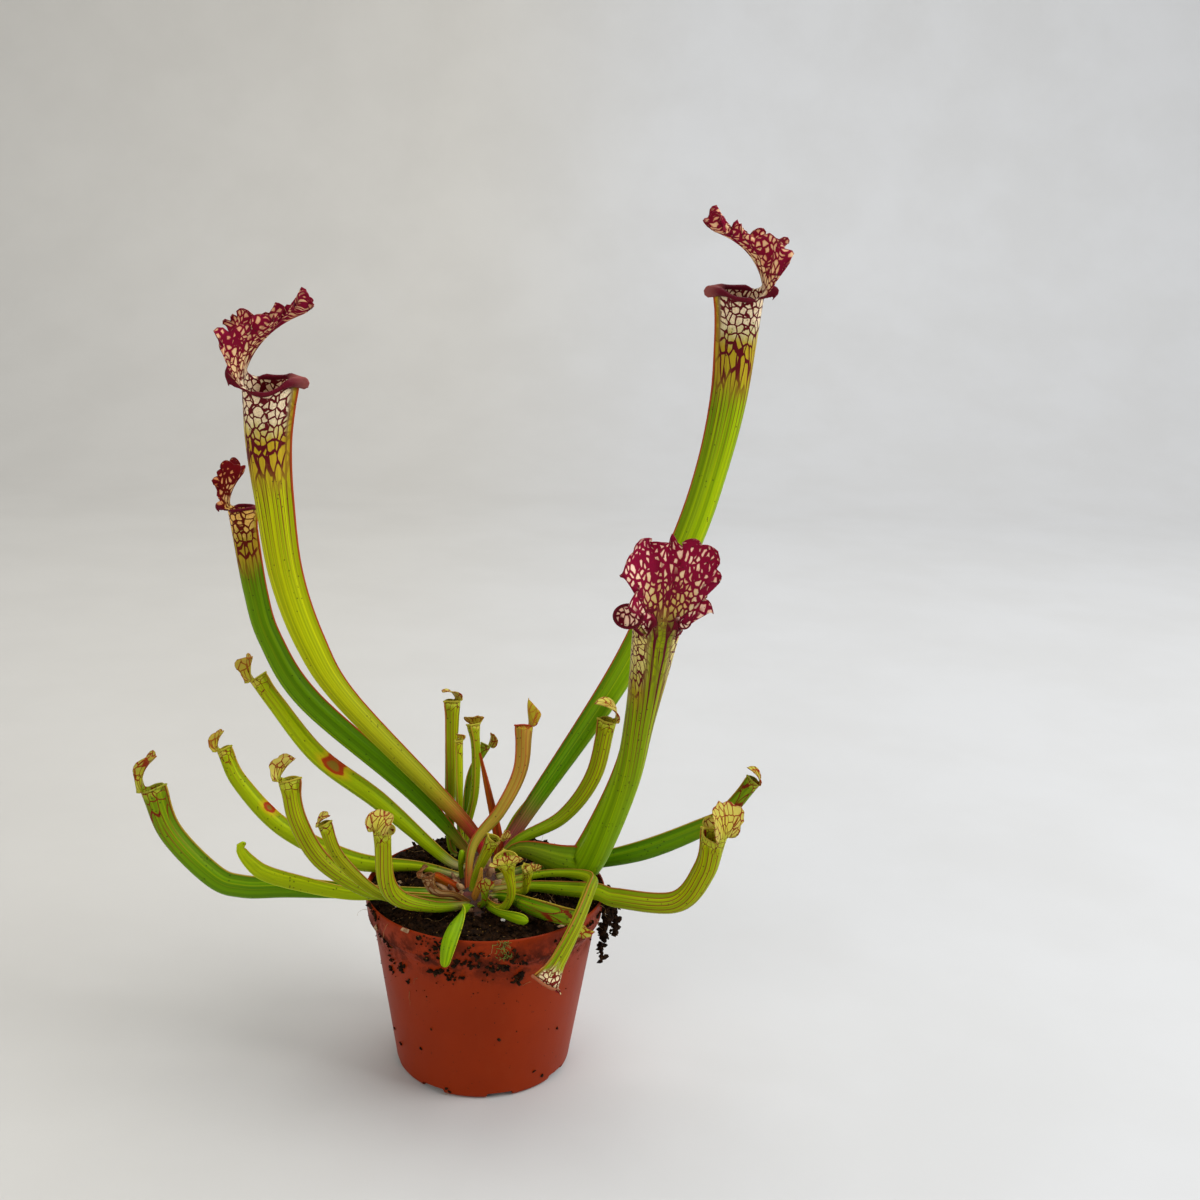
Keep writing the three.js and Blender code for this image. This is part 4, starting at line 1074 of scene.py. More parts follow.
def skin_veins(tree, given, skin):
    """The tube's net, the hood's finer one, and the long veins that run through both."""
    near_net, hood, front = skin.near_net, skin.hood, skin.front
    tube_net = cells(tree, skin.here, over(tree, 1.0, given["Cell"]))["Distance"]
    tube_width = times(tree, given["Net"], plus(tree, 0.45, times(tree, near_net, 0.55)))
    tube_net = fade(tree, minus(tree, tube_net, tube_width), 0.0, 0.05)
    tube_net = times(tree, tube_net, near_net, plus(tree, 0.35, times(tree, skin.sides, 0.65)))
    drift = noise_value(tree, stretched(tree, skin.flow, (1, 1, 0.35)), 0.16, 2)
    beat = plus(tree, times(tree, front, given["Lines"]), times(tree, drift, 1.3))
    broad = plus(tree, 0.7, times(tree, maths(tree, "MAXIMUM", near_net, skin.on_hood), 0.8))
    broad = times(tree, given["Line width"], broad)
    stripe = fade(tree, minus(tree, distance_from(tree, beat), broad), 0.0, 0.09)
    faint = noise_value(tree, stretched(tree, skin.flow, (1.0, 1.0, 0.2)), 0.5, 2)
    faint = ramp(tree, faint, 0.3, 0.5, 0.7, 1.0)
    clear = minus(tree, 1.0, times(tree, near_net, skin.sides, 0.9))
    tube_line = times(tree, stripe, skin.lines, given["Line strength"], faint, clear)
    tube_vein = maths(tree, "MAXIMUM", tube_net, tube_line)

    hood_net = cells(tree, skin.here, over(tree, 1.0, given["Hood cell"]))["Distance"]
    width = times(tree, given["Hood net"], ramp(tree, hood, 0.2, 1.0, 0.6, 1.45))
    skin.past_vein = minus(tree, hood_net, width)
    rays = plus(tree, times(tree, front, given["Lines"], 1.4), times(tree, drift, 0.4))
    rays = fade(tree, distance_from(tree, rays), 0.1, 0.15)
    hood_line = times(tree, rays, fade(tree, hood, 0.65, 0.9))
    hood_vein = maths(tree, "MAXIMUM", fade(tree, skin.past_vein, 0.0, 0.07), hood_line)
    skin.vein = node(
        tree, "ShaderNodeMix", {"Factor": skin.on_hood, 2: tube_vein, 3: hood_vein},
        data_type="FLOAT").outputs[0]
    fine_net = cells(tree, skin.here, over(tree, 2.6, given["Cell"]))["Distance"]
    skin.fine = fade(tree, fine_net, 0.0, 0.07)


def skin_body(tree, given, skin):
    """Flesh of the tube, from its root up, with long pale and dark streaks, and painted shade along the
    crease at the wing's root.
    """
    skin.streak = noise_value(tree, stretched(tree, skin.flow, (0.9, 0.9, 0.12)), 0.9, 3)
    wavy_share = plus(tree, skin.share, swing(tree, skin.streak, 0.1))
    low = ramp(tree, over(tree, wavy_share, given["Root reach"]), 0.35, 1.6)
    high = ramp(tree, over(tree, wavy_share, given["Low reach"]), 0.4, 1.6)
    body = mix(tree, low, given["Root"], given["Low"])
    body = mix(tree, high, body, given["High"])
    along = node(tree, "ShaderNodeCombineXYZ", {2: times(tree, skin.share, 1.1)}).outputs[0]
    long_way = node(
        tree, "ShaderNodeVectorMath", {0: stretched(tree, skin.flow, (0.5, 0.5, 0.0)), 1: along},
        operation="ADD").outputs[0]
    skin.patches = ramp(tree, noise_value(tree, long_way, 1.0, 1), 0.38, 0.66)
    darker = mix(tree, 0.75, body, rgb("2e5204"))
    body = mix(tree, ramp(tree, skin.streak, 0.42, 0.68, 0.0, 0.36), body, darker)
    body = mix(tree, ramp(tree, skin.streak, 0.45, 0.28, 0.0, 0.3), body, rgb("d0c800"))
    body = mix(tree, times(tree, skin.patches, 0.45), body, darker)
    body = mix(tree, ramp(tree, skin.edge, 0.0, 0.3, 0.0, 0.4), body, darker)
    # Painted shade: a dark line along the crease where the wing meets the tube.
    crease_painted_shade = times(tree, ramp(tree, skin.edge, 0.0, 0.08), fade(tree, skin.edge, 0.12, 0.3))
    return mix(tree, times(tree, crease_painted_shade, 0.5), body, mix(tree, 0.5, body, rgb("1e3404")))


def skin_flesh(tree, given, skin, body):
    """Flesh between the veins: the tube's with its flush and pale windows, and the hood's."""
    flush = minus(tree, 1.0, skin.window)
    flush = times(tree, skin.near_net, skin.away, flush, given["Blush"], 1.2)
    tube = mix(tree, flush, body, rgb("c8942c"))
    tube = mix(tree, skin.window, tube, given["Window"])
    tube = mix(tree, times(tree, skin.fine, skin.window, 0.4), tube, given["Vein"])
    rosy = times(tree, ramp(tree, skin.hood, 0.3, 1.0, 0.0, 0.6), given["Blush"], 0.6)
    pale = mix(tree, rosy, given["Hood window"], rgb("e0788a"))
    middle = times(tree, fade(tree, skin.front, 0.04, 0.2), fade(tree, skin.hood, 0.35, 0.95))
    pale = mix(tree, times(tree, middle, 0.8), pale, given["Midrib"])
    beside_vein = times(tree, fade(tree, skin.past_vein, 0.0, 0.22), given["Blush"])
    pale = mix(tree, beside_vein, pale, rgb("d0401c"))
    return mix(tree, skin.on_hood, tube, pale)


def skin_edges(tree, given, skin, colour):
    """The lip with its nose, the hood's hem and the edge of the wing."""
    lips = mix(tree, ramp(tree, skin.front, 0.84, 0.98), given["Lip"], given["Nose"])
    colour = mix(tree, ramp(tree, skin.lip, 0.25, 0.8), colour, lips)
    hem = ramp(tree, skin.hood, 0.945, 0.98)
    hem = times(tree, hem, plus(tree, 0.35, given["Blush"], clamp=True))
    colour = mix(tree, hem, colour, mix(tree, 0.5, given["Vein"], given["Margin"]))
    return mix(tree, ramp(tree, skin.edge, 0.72, 0.9), colour, given["Edge"])


def skin_marks(tree, given, skin, colour):
    """Specks, round scars with a yellow halo, and the papery brown of a dry leaf."""
    speckle = node(tree, "ShaderNodeGroup", node_tree=bpy.data.node_groups["speckle"])
    tree.links.new(given["Dots"], speckle.inputs["Density"])
    colour = mix(tree, times(tree, speckle.outputs["Dots"], 0.7), colour, rgb("2c2410"))
    spot = parts(tree, attribute(tree, "spot"))[0]
    ring = plus(tree, spot, swing(tree, noise_value(tree, skin.here, 0.3, 3), 5.0))
    colour = mix(tree, fade(tree, ring, 4.5, 9.0, 0.7), colour, rgb("cfae14"))
    colour = mix(tree, fade(tree, ring, 4.2, 5.2), colour, rgb("a83a0e"))
    colour = mix(tree, fade(tree, ring, 2.2, 3.2), colour, rgb("8a6a1c"))
    papery = mix(tree, noise_value(tree, skin.here, 0.7, 5, 0.7), rgb("4a2812"), rgb("b07c40"))
    papery = mix(tree, times(tree, skin.vein, 0.5), papery, rgb("4a2412"))
    return mix(tree, given["Dry"], colour, papery)


def pitcher_group():
    """Colour, roughness and relief of a pitcher leaf, from the values that its mesh carries."""
    group = Group("pitcher skin", SKIN_INPUTS, {"Color": "c", "Roughness": "f", "Height": "f"})
    tree, given = group.tree, group.given
    skin = skin_pattern(tree)
    skin_reaches(tree, given, skin)
    skin_veins(tree, given, skin)
    flesh = skin_flesh(tree, given, skin, skin_body(tree, given, skin))
    blood = mix(tree, ramp(tree, skin.hood, 0.2, 0.85), given["Vein"], given["Margin"])
    far = ramp(tree, over(tree, skin.wavy, given["Net reach"]), 0.6, 1.5)
    blood = mix(tree, times(tree, far, 0.3), blood, given["Edge"])
    colour = skin_edges(tree, given, skin, mix(tree, skin.vein, flesh, blood))
    group.put_out("Color", skin_marks(tree, given, skin, colour))

    rough = plus(tree, 0.4, times(tree, skin.patches, 0.1))
    group.put_out("Roughness", plus(tree, rough, times(tree, given["Dry"], 0.4)))
    relief = plus(tree, skin.vein, times(tree, skin.streak, 1.2))
    crumpled = plus(tree, 0.25, times(tree, given["Dry"], 3.0))
    crumpled = times(tree, noise_value(tree, object_mm(tree), 1.6, 4), crumpled)
    group.put_out("Height", plus(tree, relief, crumpled))


def material(name, build, bump=0.3, reach=0.0004, **sockets):
    """Principled material; build(tree) gives its colour, roughness and relief sockets."""
    made = bpy.data.materials.new(name)
    made.use_nodes = True
    tree = made.node_tree
    shader = tree.nodes["Principled BSDF"]
    colour, rough, height = build(tree)
    tree.links.new(colour, shader.inputs["Base Color"])
    tree.links.new(rough, shader.inputs["Roughness"])
    relief = node(tree, "ShaderNodeBump", {"Strength": bump, "Distance": reach, "Height": height})
    tree.links.new(relief.outputs[0], shader.inputs["Normal"])
    for label, value in sockets.items():
        shader.inputs[label.replace("_", " ")].default_value = value


def leaf_material(name, values):
    def build(tree):
        group = node(tree, "ShaderNodeGroup", node_tree=bpy.data.node_groups["pitcher skin"])
        for label, value in values.items():
            group.inputs[label].default_value = (*rgb(value), 1) if isinstance(value, str) else value
        return tuple(group.outputs[label] for label in ("Color", "Roughness", "Height"))

    material(
        name, build, bump=0.5, reach=0.0003, Subsurface_Weight=0.1, Subsurface_Scale=0.003,
        Specular_IOR_Level=0.06)


def plastic(tree, colour):
    """Brown plastic, clouded and dusty, with darker, rougher patches round the collar and specks of peat."""
    here = object_mm(tree)
    height = parts(tree, here)[2]
    cloud = noise_value(tree, here, 0.035, 4)
    base = mix(tree, ramp(tree, cloud, 0.3, 0.7, 0.0, 0.35), colour, rgb("7a2202"))
    dust = noise_value(tree, stretched(tree, here, (1, 1, 0.4)), 0.12, 6, 0.7)
    base = mix(tree, ramp(tree, dust, 0.5, 0.85, 0.0, 0.16), base, rgb("94441e"))
    # Darker, rougher noisy patches in a band round the collar's foot.
    off_collar = maths(tree, "ABSOLUTE", over(tree, minus(tree, height, 80.0), 15.0))
    near_collar = minus(tree, 1.0, off_collar, clamp=True)
    collar_patches = times(tree, ramp(tree, noise_value(tree, here, 0.14, 7, 0.74), 0.42, 0.6), near_collar)
    base = mix(tree, times(tree, collar_patches, 0.9), base, rgb("301004"))
    dots = flecks(tree, here, 0.55, 0.16, 0.1, 0.2)
    base = mix(tree, times(tree, dots, 0.8), base, rgb("2a140c"))
    rough = plus(tree, plus(tree, 0.36, times(tree, dust, 0.16)), times(tree, collar_patches, 0.35))
    grain = plus(tree, times(tree, noise_value(tree, here, 1.3, 3), 0.25), collar_patches)
    scratch = noise_value(tree, stretched(tree, here, (0.6, 0.6, 4.0)), 0.8, 2)
    return base, rough, plus(tree, grain, times(tree, scratch, 0.12))


def peat(tree, colour):
    """Dark damp peat with golden flecks."""
    here = object_mm(tree)
    lump = noise_value(tree, here, 0.35, 6, 0.7)
    base = mix(tree, ramp(tree, lump, 0.35, 0.75), rgb("100804"), colour)
    golden = flecks(tree, here, 0.75, 0.1, 0.15, 0.4)
    base = mix(tree, times(tree, golden, 0.7), base, rgb("8a6428"))
    return base, plus(tree, 0.75, times(tree, lump, 0.2)), noise_value(tree, here, 1.1, 6, 0.75)


def grainy(tree, dark, pale, scale):
    """Two colours in fine grain, for bark, fibres, moss and sheaths."""
    value = noise_value(tree, object_mm(tree), scale, 5, 0.65)
    colour = mix(tree, ramp(tree, value, 0.3, 0.7), rgb(dark), rgb(pale))
    return colour, plus(tree, 0.6, times(tree, value, 0.3)), value


def rhizome(tree):
    """Brown bands round the crown, with reddish patches."""
    here = object_mm(tree)
    bands = noise_value(tree, stretched(tree, here, (1, 1, 3)), 0.35, 5, 0.65)
    colour = mix(tree, ramp(tree, bands, 0.3, 0.65), rgb("1e100a"), rgb("5a3018"))
    colour = mix(tree, ramp(tree, noise_value(tree, here, 0.12, 3), 0.55, 0.75), colour, rgb("6a2018"))
    return colour, plus(tree, 0.6, times(tree, bands, 0.3)), bands


def backdrop(tree, colour):
    """Matt floor, warmer and darker on the left as painted shade, cooler and paler on the right as painted
    light from the key lamp, and darker at its foot.
    """
    here = object_mm(tree)
    across, _, height = parts(tree, here)
    # Painted shade on the left and painted light on the right, across the floor's width.
    base = mix(
        tree, ramp(tree, across, -320.0, 260.0), mix(tree, 0.14, colour, rgb("c8b48c")),
        mix(tree, 0.16, colour, rgb("d8dcea")))
    base = mix(tree, fade(tree, height, 0.0, 500.0, 0.16), base, rgb("a8a6a4"))
    cloud = noise_value(tree, here, 0.006, 4)
    base = mix(tree, ramp(tree, cloud, 0.3, 0.7, 0.0, 0.12), base, rgb("aaa69e"))
    return base, plus(tree, 0.72, times(tree, cloud, 0.15)), noise_value(tree, here, 0.2, 4)


# ---------------------------------------------------------------- looks of the leaves
# Colours and values of the pitcher skin that differ from its own.

LOOKS = {
    "tall": {
        "Root": "b81030", "Low": "a8a41c", "High": "bcc206",
        "Line reach": 105.0, "Root reach": 0.13, "Low reach": 0.36, "Dots": 0.16,
    },
    "tall_green": {
        "Root": "b8485a", "Low": "5e9004", "High": "98b404",
        "Root reach": 0.09, "Low reach": 0.4, "Dots": 0.16,
    },
    "rear": {
        "Root": "9a7a2c", "Low": "629404", "High": "668c04", "Window": "e8b860",
        "Hood window": "e8b060", "Vein": "5e160c", "Margin": "6a0a12",
        "Cell": 3.0, "Hood net": 0.16, "Hood cell": 1.9, "Window reach": 10.0, "Net reach": 28.0,
        "Line reach": 44.0, "Root reach": 0.08, "Lines": 11.0, "Dots": 0.2,
    },
    "broad": {
        "Root": "6c7a10", "Low": "82a804", "High": "8c9604", "Window": "dccc78",
        # The hood's windows are pale cream, lifted to near white here as a painted glow of light shining
        # through the hood.
        "Hood window": "ffe0c0", "Vein": "5c101c", "Margin": "820a30", "Midrib": "a89c08",
        "Cell": 3.0, "Net": 0.06, "Hood net": 0.12, "Hood cell": 2.3, "Window reach": 20.0,
        "Net reach": 38.0, "Line reach": 96.0, "Root reach": 0.2, "Low reach": 0.68, "Back": 1.0,
        "Lines": 11.0, "Line width": 0.22, "Blush": 0.35, "Dots": 0.4,
    },
    "young_yellow": {
        "Root": "b8ac70", "Low": "a2b806", "High": "b8c808", "Window": "c0b83c",
        "Hood window": "b8a83c", "Vein": "7c3a10", "Margin": "9a5a20", "Lip": "a8a02c",
        "Nose": "a8a02c", "Edge": "b8982c", "Midrib": "b8b020",
        "Cell": 2.4, "Net": 0.02, "Hood net": 0.02, "Hood cell": 3.0, "Window reach": 1.5,
        "Net reach": 9.0, "Line reach": 24.0, "Line strength": 0.55, "Lines": 5.0, "Blush": 0.06,
        "Dots": 0.4,
    },
    "young_green": {
        "Root": "a8a060", "Low": "5a8802", "High": "74940a", "Window": "98a428",
        "Hood window": "a8a83c", "Vein": "74240e", "Margin": "8c3014", "Lip": "94942c",
        "Nose": "94942c", "Edge": "a8902c", "Midrib": "a8a41c",
        "Cell": 3.0, "Net": 0.03, "Hood net": 0.03, "Hood cell": 3.0, "Window reach": 1.5,
        "Net reach": 20.0, "Line reach": 44.0, "Root reach": 0.08, "Low reach": 0.75,
        "Line strength": 0.95, "Lines": 7.0, "Blush": 0.03, "Dots": 0.45,
    },
    "striped": {
        "Root": "a89c50", "Low": "8aa806", "High": "a8b008", "Window": "b0b830",
        "Hood window": "c0b450", "Vein": "6a1c0c", "Margin": "842c16", "Lip": "a89a30",
        "Nose": "a89a30", "Edge": "a8702c", "Midrib": "c0b434",
        "Cell": 2.6, "Net": 0.02, "Hood net": 0.02, "Hood cell": 2.8, "Window reach": 2.0,
        "Net reach": 6.0, "Line reach": 90.0, "Root reach": 0.1, "Lines": 7.0, "Blush": 0.03,
        "Dots": 0.2,
    },
    "amber": {
        "Root": "a83020", "Low": "b09a30", "High": "bc8a34", "Window": "b8a82c",
        "Hood window": "b4a424", "Vein": "a04a1c", "Margin": "a85a1c", "Lip": "a03a1c",
        "Nose": "a03a1c", "Edge": "a04a20", "Midrib": "a09a1c",
        "Cell": 2.4, "Hood net": 0.0, "Hood cell": 3.0, "Window reach": 1.0, "Net reach": 1.0,
        "Line reach": 70.0, "Root reach": 0.16, "Line strength": 0.7, "Lines": 5.0, "Blush": 0.05,
        "Dots": 0.16,
    },
    "plain": {
        "Root": "a8a060", "Low": "7c9c04", "High": "8cb004", "Edge": "a0a81c",
        "Root reach": 0.1, "Low reach": 0.8, "Line strength": 0.0, "Lines": 6.0, "Dots": 0.45,
    },
    "red": {
        "Root": "a01c1c", "Low": "c03c10", "High": "b04410", "Edge": "8c2a10",
        "Root reach": 0.25, "Dots": 0.16,
    },
    "frilled": {
        "Root": "a89c50", "Low": "8ca806", "High": "98a80c", "Window": "ecd8a8",
        "Hood window": "d8c88c", "Vein": "6c1c14", "Margin": "7c2024", "Lip": "9a5a3c",
        "Nose": "9a5a3c", "Edge": "a8782c", "Midrib": "c0b434",
        "Cell": 1.9, "Net": 0.1, "Hood cell": 2.0, "Window reach": 6.0, "Net reach": 8.0,
        "Line reach": 80.0, "Root reach": 0.1, "Lines": 8.0, "Line width": 0.22, "Blush": 0.1,
    },
    "dry": {"Root": "8c4a2c", "Cell": 2.0, "Hood net": 0.06, "Hood cell": 2.0, "Dry": 0.85},
    "dry_orange": {
        "Root": "8a3a20", "Low": "c87a1c", "High": "d89a30", "Edge": "9c5a1c",
        "Root reach": 0.2, "Dry": 0.35,
    },
}
LOOK_OF = {
    "pitcher_tall_left": "tall", "pitcher_tall_right": "tall_green", "pitcher_rear_left": "rear",
    "pitcher_broad_front": "broad", "pitcher_leaning_left": "young_yellow",
    "pitcher_low_left": "young_yellow", "pitcher_spread_left": "young_green",
    "pitcher_upturned_left": "striped", "pitcher_small_left": "striped",
    "pitcher_front_left": "striped", "pitcher_rear_slim": "striped",
    "pitcher_rear_bud": "young_yellow", "pitcher_rear_mid": "young_yellow",
    "pitcher_rear_brown": "young_green", "pitcher_rear_amber": "amber",
    "pitcher_striped_right": "striped", "pitcher_spread_right": "young_green",
    "pitcher_low_right": "striped", "pitcher_small_front": "striped",
    "pitcher_second_front": "striped", "pitcher_front_right": "young_green",
    "pitcher_hanging_front": "frilled", "pitcher_curled_centre": "striped",
    "pitcher_small_centre": "young_green", "pitcher_dry_tan": "dry",
    "leaf_hooked_left": "young_yellow", "leaf_pale_rear": "plain", "leaf_paddle_front": "plain",
    "leaf_blunt_front": "plain", "leaf_bud_lime": "plain", "leaf_dry_orange": "dry_orange",
    "leaf_stub_red": "red", "leaf_spikes_red": "red",
}
# Round brown scars: middle, share of the leaf's length, and how much smaller than a full one.
SCARS = {
    "pitcher_leaning_left": ((-79.0, 19.6, 145.6), 0.575, 1.25),
    "pitcher_low_left": ((-109.1, 4.8, 127.7), 0.68, 2.1),
}
SCAR_FACING = Vector((0.2, -0.93, 0.3))
SCAR_DEPTH = 4.5  # how far behind its middle a scar still marks the skin
NO_SCAR = ((0, 0, 0), 0.0, 9.0)


def add_leaf(build, form, name, stations, back, hood=None):
    run = Run(name, stations, back, hood, **{**form, **OWN_FORM.get(name, {})})
    bm = build(run)
    spot = bm.verts.layers.float_vector.new("spot")
    scar, share, shrink = SCARS.get(name, NO_SCAR)
    along = run.at(share).along
    for vert in bm.verts:
        off = vert.co - Vector(scar)
        toward = off.dot(SCAR_FACING)
        off -= along * off.dot(along) * 0.45 + SCAR_FACING * toward * 0.9
        vert[spot] = (off.length * shrink if toward > -SCAR_DEPTH else 99.0, 0, 0)
    add_piece(name + "_leaf", bm, "leaf " + LOOK_OF[name], name)


# ---------------------------------------------------------------- crumbs, fibres and moss on the peat and pot

# Clusters of peat crumbs on the pot: angle from the front in degrees, height, spread and count.
POT_CRUMBS = (
    (-19, 88.0, 4.5, 46), (-16, 73.0, 2.0, 14), (-11, 70.5, 2.5, 16), (0, 86.5, 3.0, 22),
    (-1, 81.0, 2.5, 16), (9, 78.0, 3.5, 26), (17, 84.5, 3.0, 22), (21, 70.5, 2.5, 16),
    (23, 79.0, 2.0, 10), (-43, 67.0, 2.5, 14), (-52, 62.0, 2.0, 9), (-49, 69.0, 1.5, 7),
    (-51, 79.5, 2.0, 14), (-57, 91.0, 2.5, 14), (-63, 92.0, 2.0, 12), (5, 70.5, 1.5, 4),
    (-36, 61.5, 1.0, 2), (-24, 79.0, 1.5, 5), (41, 87.5, 2.0, 7), (63, 86.5, 2.0, 9),
    (73, 87.0, 1.5, 8), (-56, 17.0, 0.8, 3), (52, 32.0, 0.5, 2), (45, 34.5, 0.5, 1),
    (38, 11.0, 0.8, 2), (-35, 23.5, 0.2, 1), (-64, 23.0, 0.2, 1), (-26, 38.0, 0.2, 1),
    (13, 35.5, 0.2, 1), (46, 6.0, 0.5, 1), (-18, 2.5, 1.5, 3), (-6, 81.5, 2.0, 12),
    (-12, 78.5, 2.0, 10), (120, 84.0, 4.0, 20), (170, 80.0, 5.0, 26), (215, 86.0, 4.0, 20),
    (255, 78.0, 3.0, 12), (140, 40.0, 1.0, 3), (230, 30.0, 1.0, 3),
)
POT_DUST = 150
BARK_FLAKES, MOSS_THREADS, RIM_CRUMBS, STRAND_CRUMBS = 22, 46, 60, 8
RIM_BARK = ((-33, 92.6, 0.6, 3.0), (-57, 84, 0.5, 2.6))  # angle, height, distance off the pot, size
POT_ROOTS = ((-31, 66, 9), (-38, 56, 11), (-18, 2.5, 6), (24, 66, 7), (8, 90, 8))  # angle, height, length
RIM_ROOTS = ((-62, 91), (66, 90), (72, 93))
HANGING_STRANDS = (((61, -7, 92), 24), ((65, -5, 91), 33), ((63, -2, 92), 26))  # start and length


def on_soil(rng, reach=57.0):
    """Random point on the peat within reach of the pot's axis."""
    angle, radius = rng.uniform(0, math.tau), reach * math.sqrt(rng.random())
    x, y = radius * math.cos(angle), radius * math.sin(angle)
    return Vector((x, y, soil_top(x, y)))


def add_soil_crumbs(rng, grains, count, largest):
    places = []
    for _ in range(count):
        size = largest * rng.uniform(0.25, 1.0) ** 1.5
        places.append((on_soil(rng) + Vector((0, 0, size * 0.3)), size))
    scatter("soil_crumbs", grains, places, "peat", 1)


def add_pot_crumbs(rng, grains):
    places = []
    for angle, height, spread, count in POT_CRUMBS:
        for _ in range(count):
            tall = min(POT_HEIGHT - 0.5, height + rng.gauss(0, spread * 0.6))
            turn = math.radians(angle) + rng.gauss(0, spread) / pot_radius(tall)
            size = rng.uniform(0.55, 1.0) ** 2 * rng.choice((1.0, 1.0, 1.6))
            places.append((on_pot(turn, max(1.5, tall), size * 0.3), size))
    for _ in range(POT_DUST):
        tall = rng.triangular(30, 92, 84)
        size = rng.uniform(0.15, 0.45)
        places.append((on_pot(rng.uniform(0, math.tau), tall, size * 0.3), size))
    scatter("pot_crumbs", grains, places, "peat", 2)


def add_perlite(rng, count):
    places = [(on_soil(rng, 54) + Vector((0, 0, 0.5)), rng.uniform(0.45, 0.9)) for _ in range(count)]
    scatter("soil_perlite", crumb_shapes(4, 2), places, "perlite", 3)


def add_bark(rng):
    places = [(on_soil(rng, 55) + Vector((0, 0, 0.6)), rng.uniform(1.2, 2.6)) for _ in range(BARK_FLAKES)]
    places += [(on_pot(math.radians(angle), height, off), size) for angle, height, off, size in RIM_BARK]
    scatter("soil_bark", crumb_shapes(6, 1, 0.35), places, "bark", 4)


def add_root_fibres(rng, count):
    """Dry root fibres on the peat, down the pot's wall and out over its rim."""
    fibres = bmesh.new()
    for _ in range(count):
        foot = on_soil(rng, 52)
        heading = Vector((rng.gauss(0, 1), rng.gauss(0, 1), rng.uniform(0.0, 0.7)))
        add_thread(fibres, wander(rng, foot, heading, rng.uniform(8, 24), 10, 0.3, 0.05), 0.14)
    for angle, height, drop in POT_ROOTS:
        start = on_pot(math.radians(angle), height, 0.3)
        points = wander(rng, start, Vector((rng.uniform(-1, 1), 0, -1)), drop, 9, 0.25)
        points = [
            on_pot(math.atan2(p.x, -p.y), max(0.6, p.z), 0.3 + 0.2 * k / 9) for k, p in enumerate(points)]
        add_thread(fibres, points, 0.11)
    for angle, height in RIM_ROOTS:
        start = on_pot(math.radians(angle), height, 0)
        add_thread(fibres, wander(rng, start, start * Vector((1, 1, 0)), 9, 8, 0.3, 0.08), 0.12)
    add_piece("root_fibres", fibres, "fibre")


def add_moss(rng):
    moss = bmesh.new()
    for _ in range(MOSS_THREADS):
        foot = on_pot(math.radians(rng.gauss(13, 2.2)), rng.uniform(84, POT_HEIGHT), 0.1)
        heading = Vector((rng.gauss(0, 0.6), -0.7, rng.uniform(-0.6, 1)))
        add_thread(moss, wander(rng, foot, heading, rng.uniform(1.5, 4), 5, 0.35), 0.2)
    add_piece("rim_moss", moss, "moss")


def add_hanging_clump(rng, grains):
    """Root strands with crumbs that hang over the right of the rim."""
    places, strands = [], bmesh.new()
    for start, drop in HANGING_STRANDS:
        points = wander(rng, Vector(start), Vector((0.12, 0, -1)), drop, 14, 0.22, 0.25)
        add_thread(strands, points, 0.22)
        for point in points:
            for _ in range(STRAND_CRUMBS):
                offset = Vector((rng.gauss(0, 0.9), rng.gauss(0, 0.9), rng.gauss(0, 0.9)))
                places.append((point + offset, rng.uniform(0.5, 1.5)))
    for _ in range(RIM_CRUMBS):
        spot = Vector((rng.gauss(60, 2.0), rng.gauss(-6, 4), rng.gauss(93.5, 1.2)))
        places.append((spot, rng.uniform(0.4, 1.2)))
    scatter("hanging_crumbs", grains, places, "peat", 7)
    add_piece("hanging_strands", strands, "fibre")


# ---------------------------------------------------------------- the stage, in metres

FLOOR_FRONT, FLOOR_HALF_WIDTH, FLOOR_LONG = -2.4, 3.2, 3.9
BACKDROP_BEND, BACKDROP_TALL = 0.9, 2.4
# Name, place, size, power and colour. All lights aim at LIT_POINT.
LIGHTS = (
    ("key", (1.9, -0.4, 1.7), 1.6, 50.0, (0.96, 0.98, 1.0)),
    ("fill", (-1.5, -1.9, 1.2), 1.6, 18.0, (1.0, 0.95, 0.87)),
    ("top", (0.1, 0.9, 2.4), 1.8, 26.0, (1.0, 1.0, 0.98)),
)
LIT_POINT = Vector((0, 0, 0.15))
ROOM_LIGHT, ROOM_STRENGTH = (0.93, 0.96, 1.0, 1), 0.46
CAMERA_PLACE, CAMERA_TILT, CAMERA_ROLL = (0.05206, -0.6436, 0.4077), math.radians(75.56), 0.036
LENS, SENSOR_WIDTH, NEAREST = 42.0, 36.0, 0.01


def add_backdrop(scene):
    """Floor that bends up into a wall behind the plant."""
    bm = bmesh.new()
    front = [bm.verts.new((x, FLOOR_FRONT, 0)) for x in (-FLOOR_HALF_WIDTH, FLOOR_HALF_WIDTH)]
    edge = bm.edges.new(front)

    def pulled(vec):
        made = bmesh.ops.extrude_edge_only(bm, edges=[edge])["geom"]
        bmesh.ops.translate(bm, vec=vec, verts=[g for g in made if isinstance(g, bmesh.types.BMVert)])
        return next(g for g in made if isinstance(g, bmesh.types.BMEdge))

    edge = pulled((0, FLOOR_LONG, 0))
    bend = bmesh.ops.spin(
        bm, geom=[edge], cent=(0, FLOOR_FRONT + FLOOR_LONG, BACKDROP_BEND), axis=(1, 0, 0),
        angle=math.pi / 2, steps=20)["geom_last"]
    edge = next(g for g in bend if isinstance(g, bmesh.types.BMEdge))
    pulled((0, 0, BACKDROP_TALL))
    bmesh.ops.remove_doubles(bm, verts=bm.verts, dist=1e-5)
    bmesh.ops.recalc_face_normals(bm, faces=bm.faces)
    for face in bm.faces:
        face.smooth = True
    mesh = bpy.data.meshes.new("stage_floor")
    bm.to_mesh(mesh)
    bm.free()
    mesh.materials.append(bpy.data.materials["stage floor"])
    floor = bpy.data.objects.new("stage_floor", mesh)
    scene.collection.objects.link(floor)


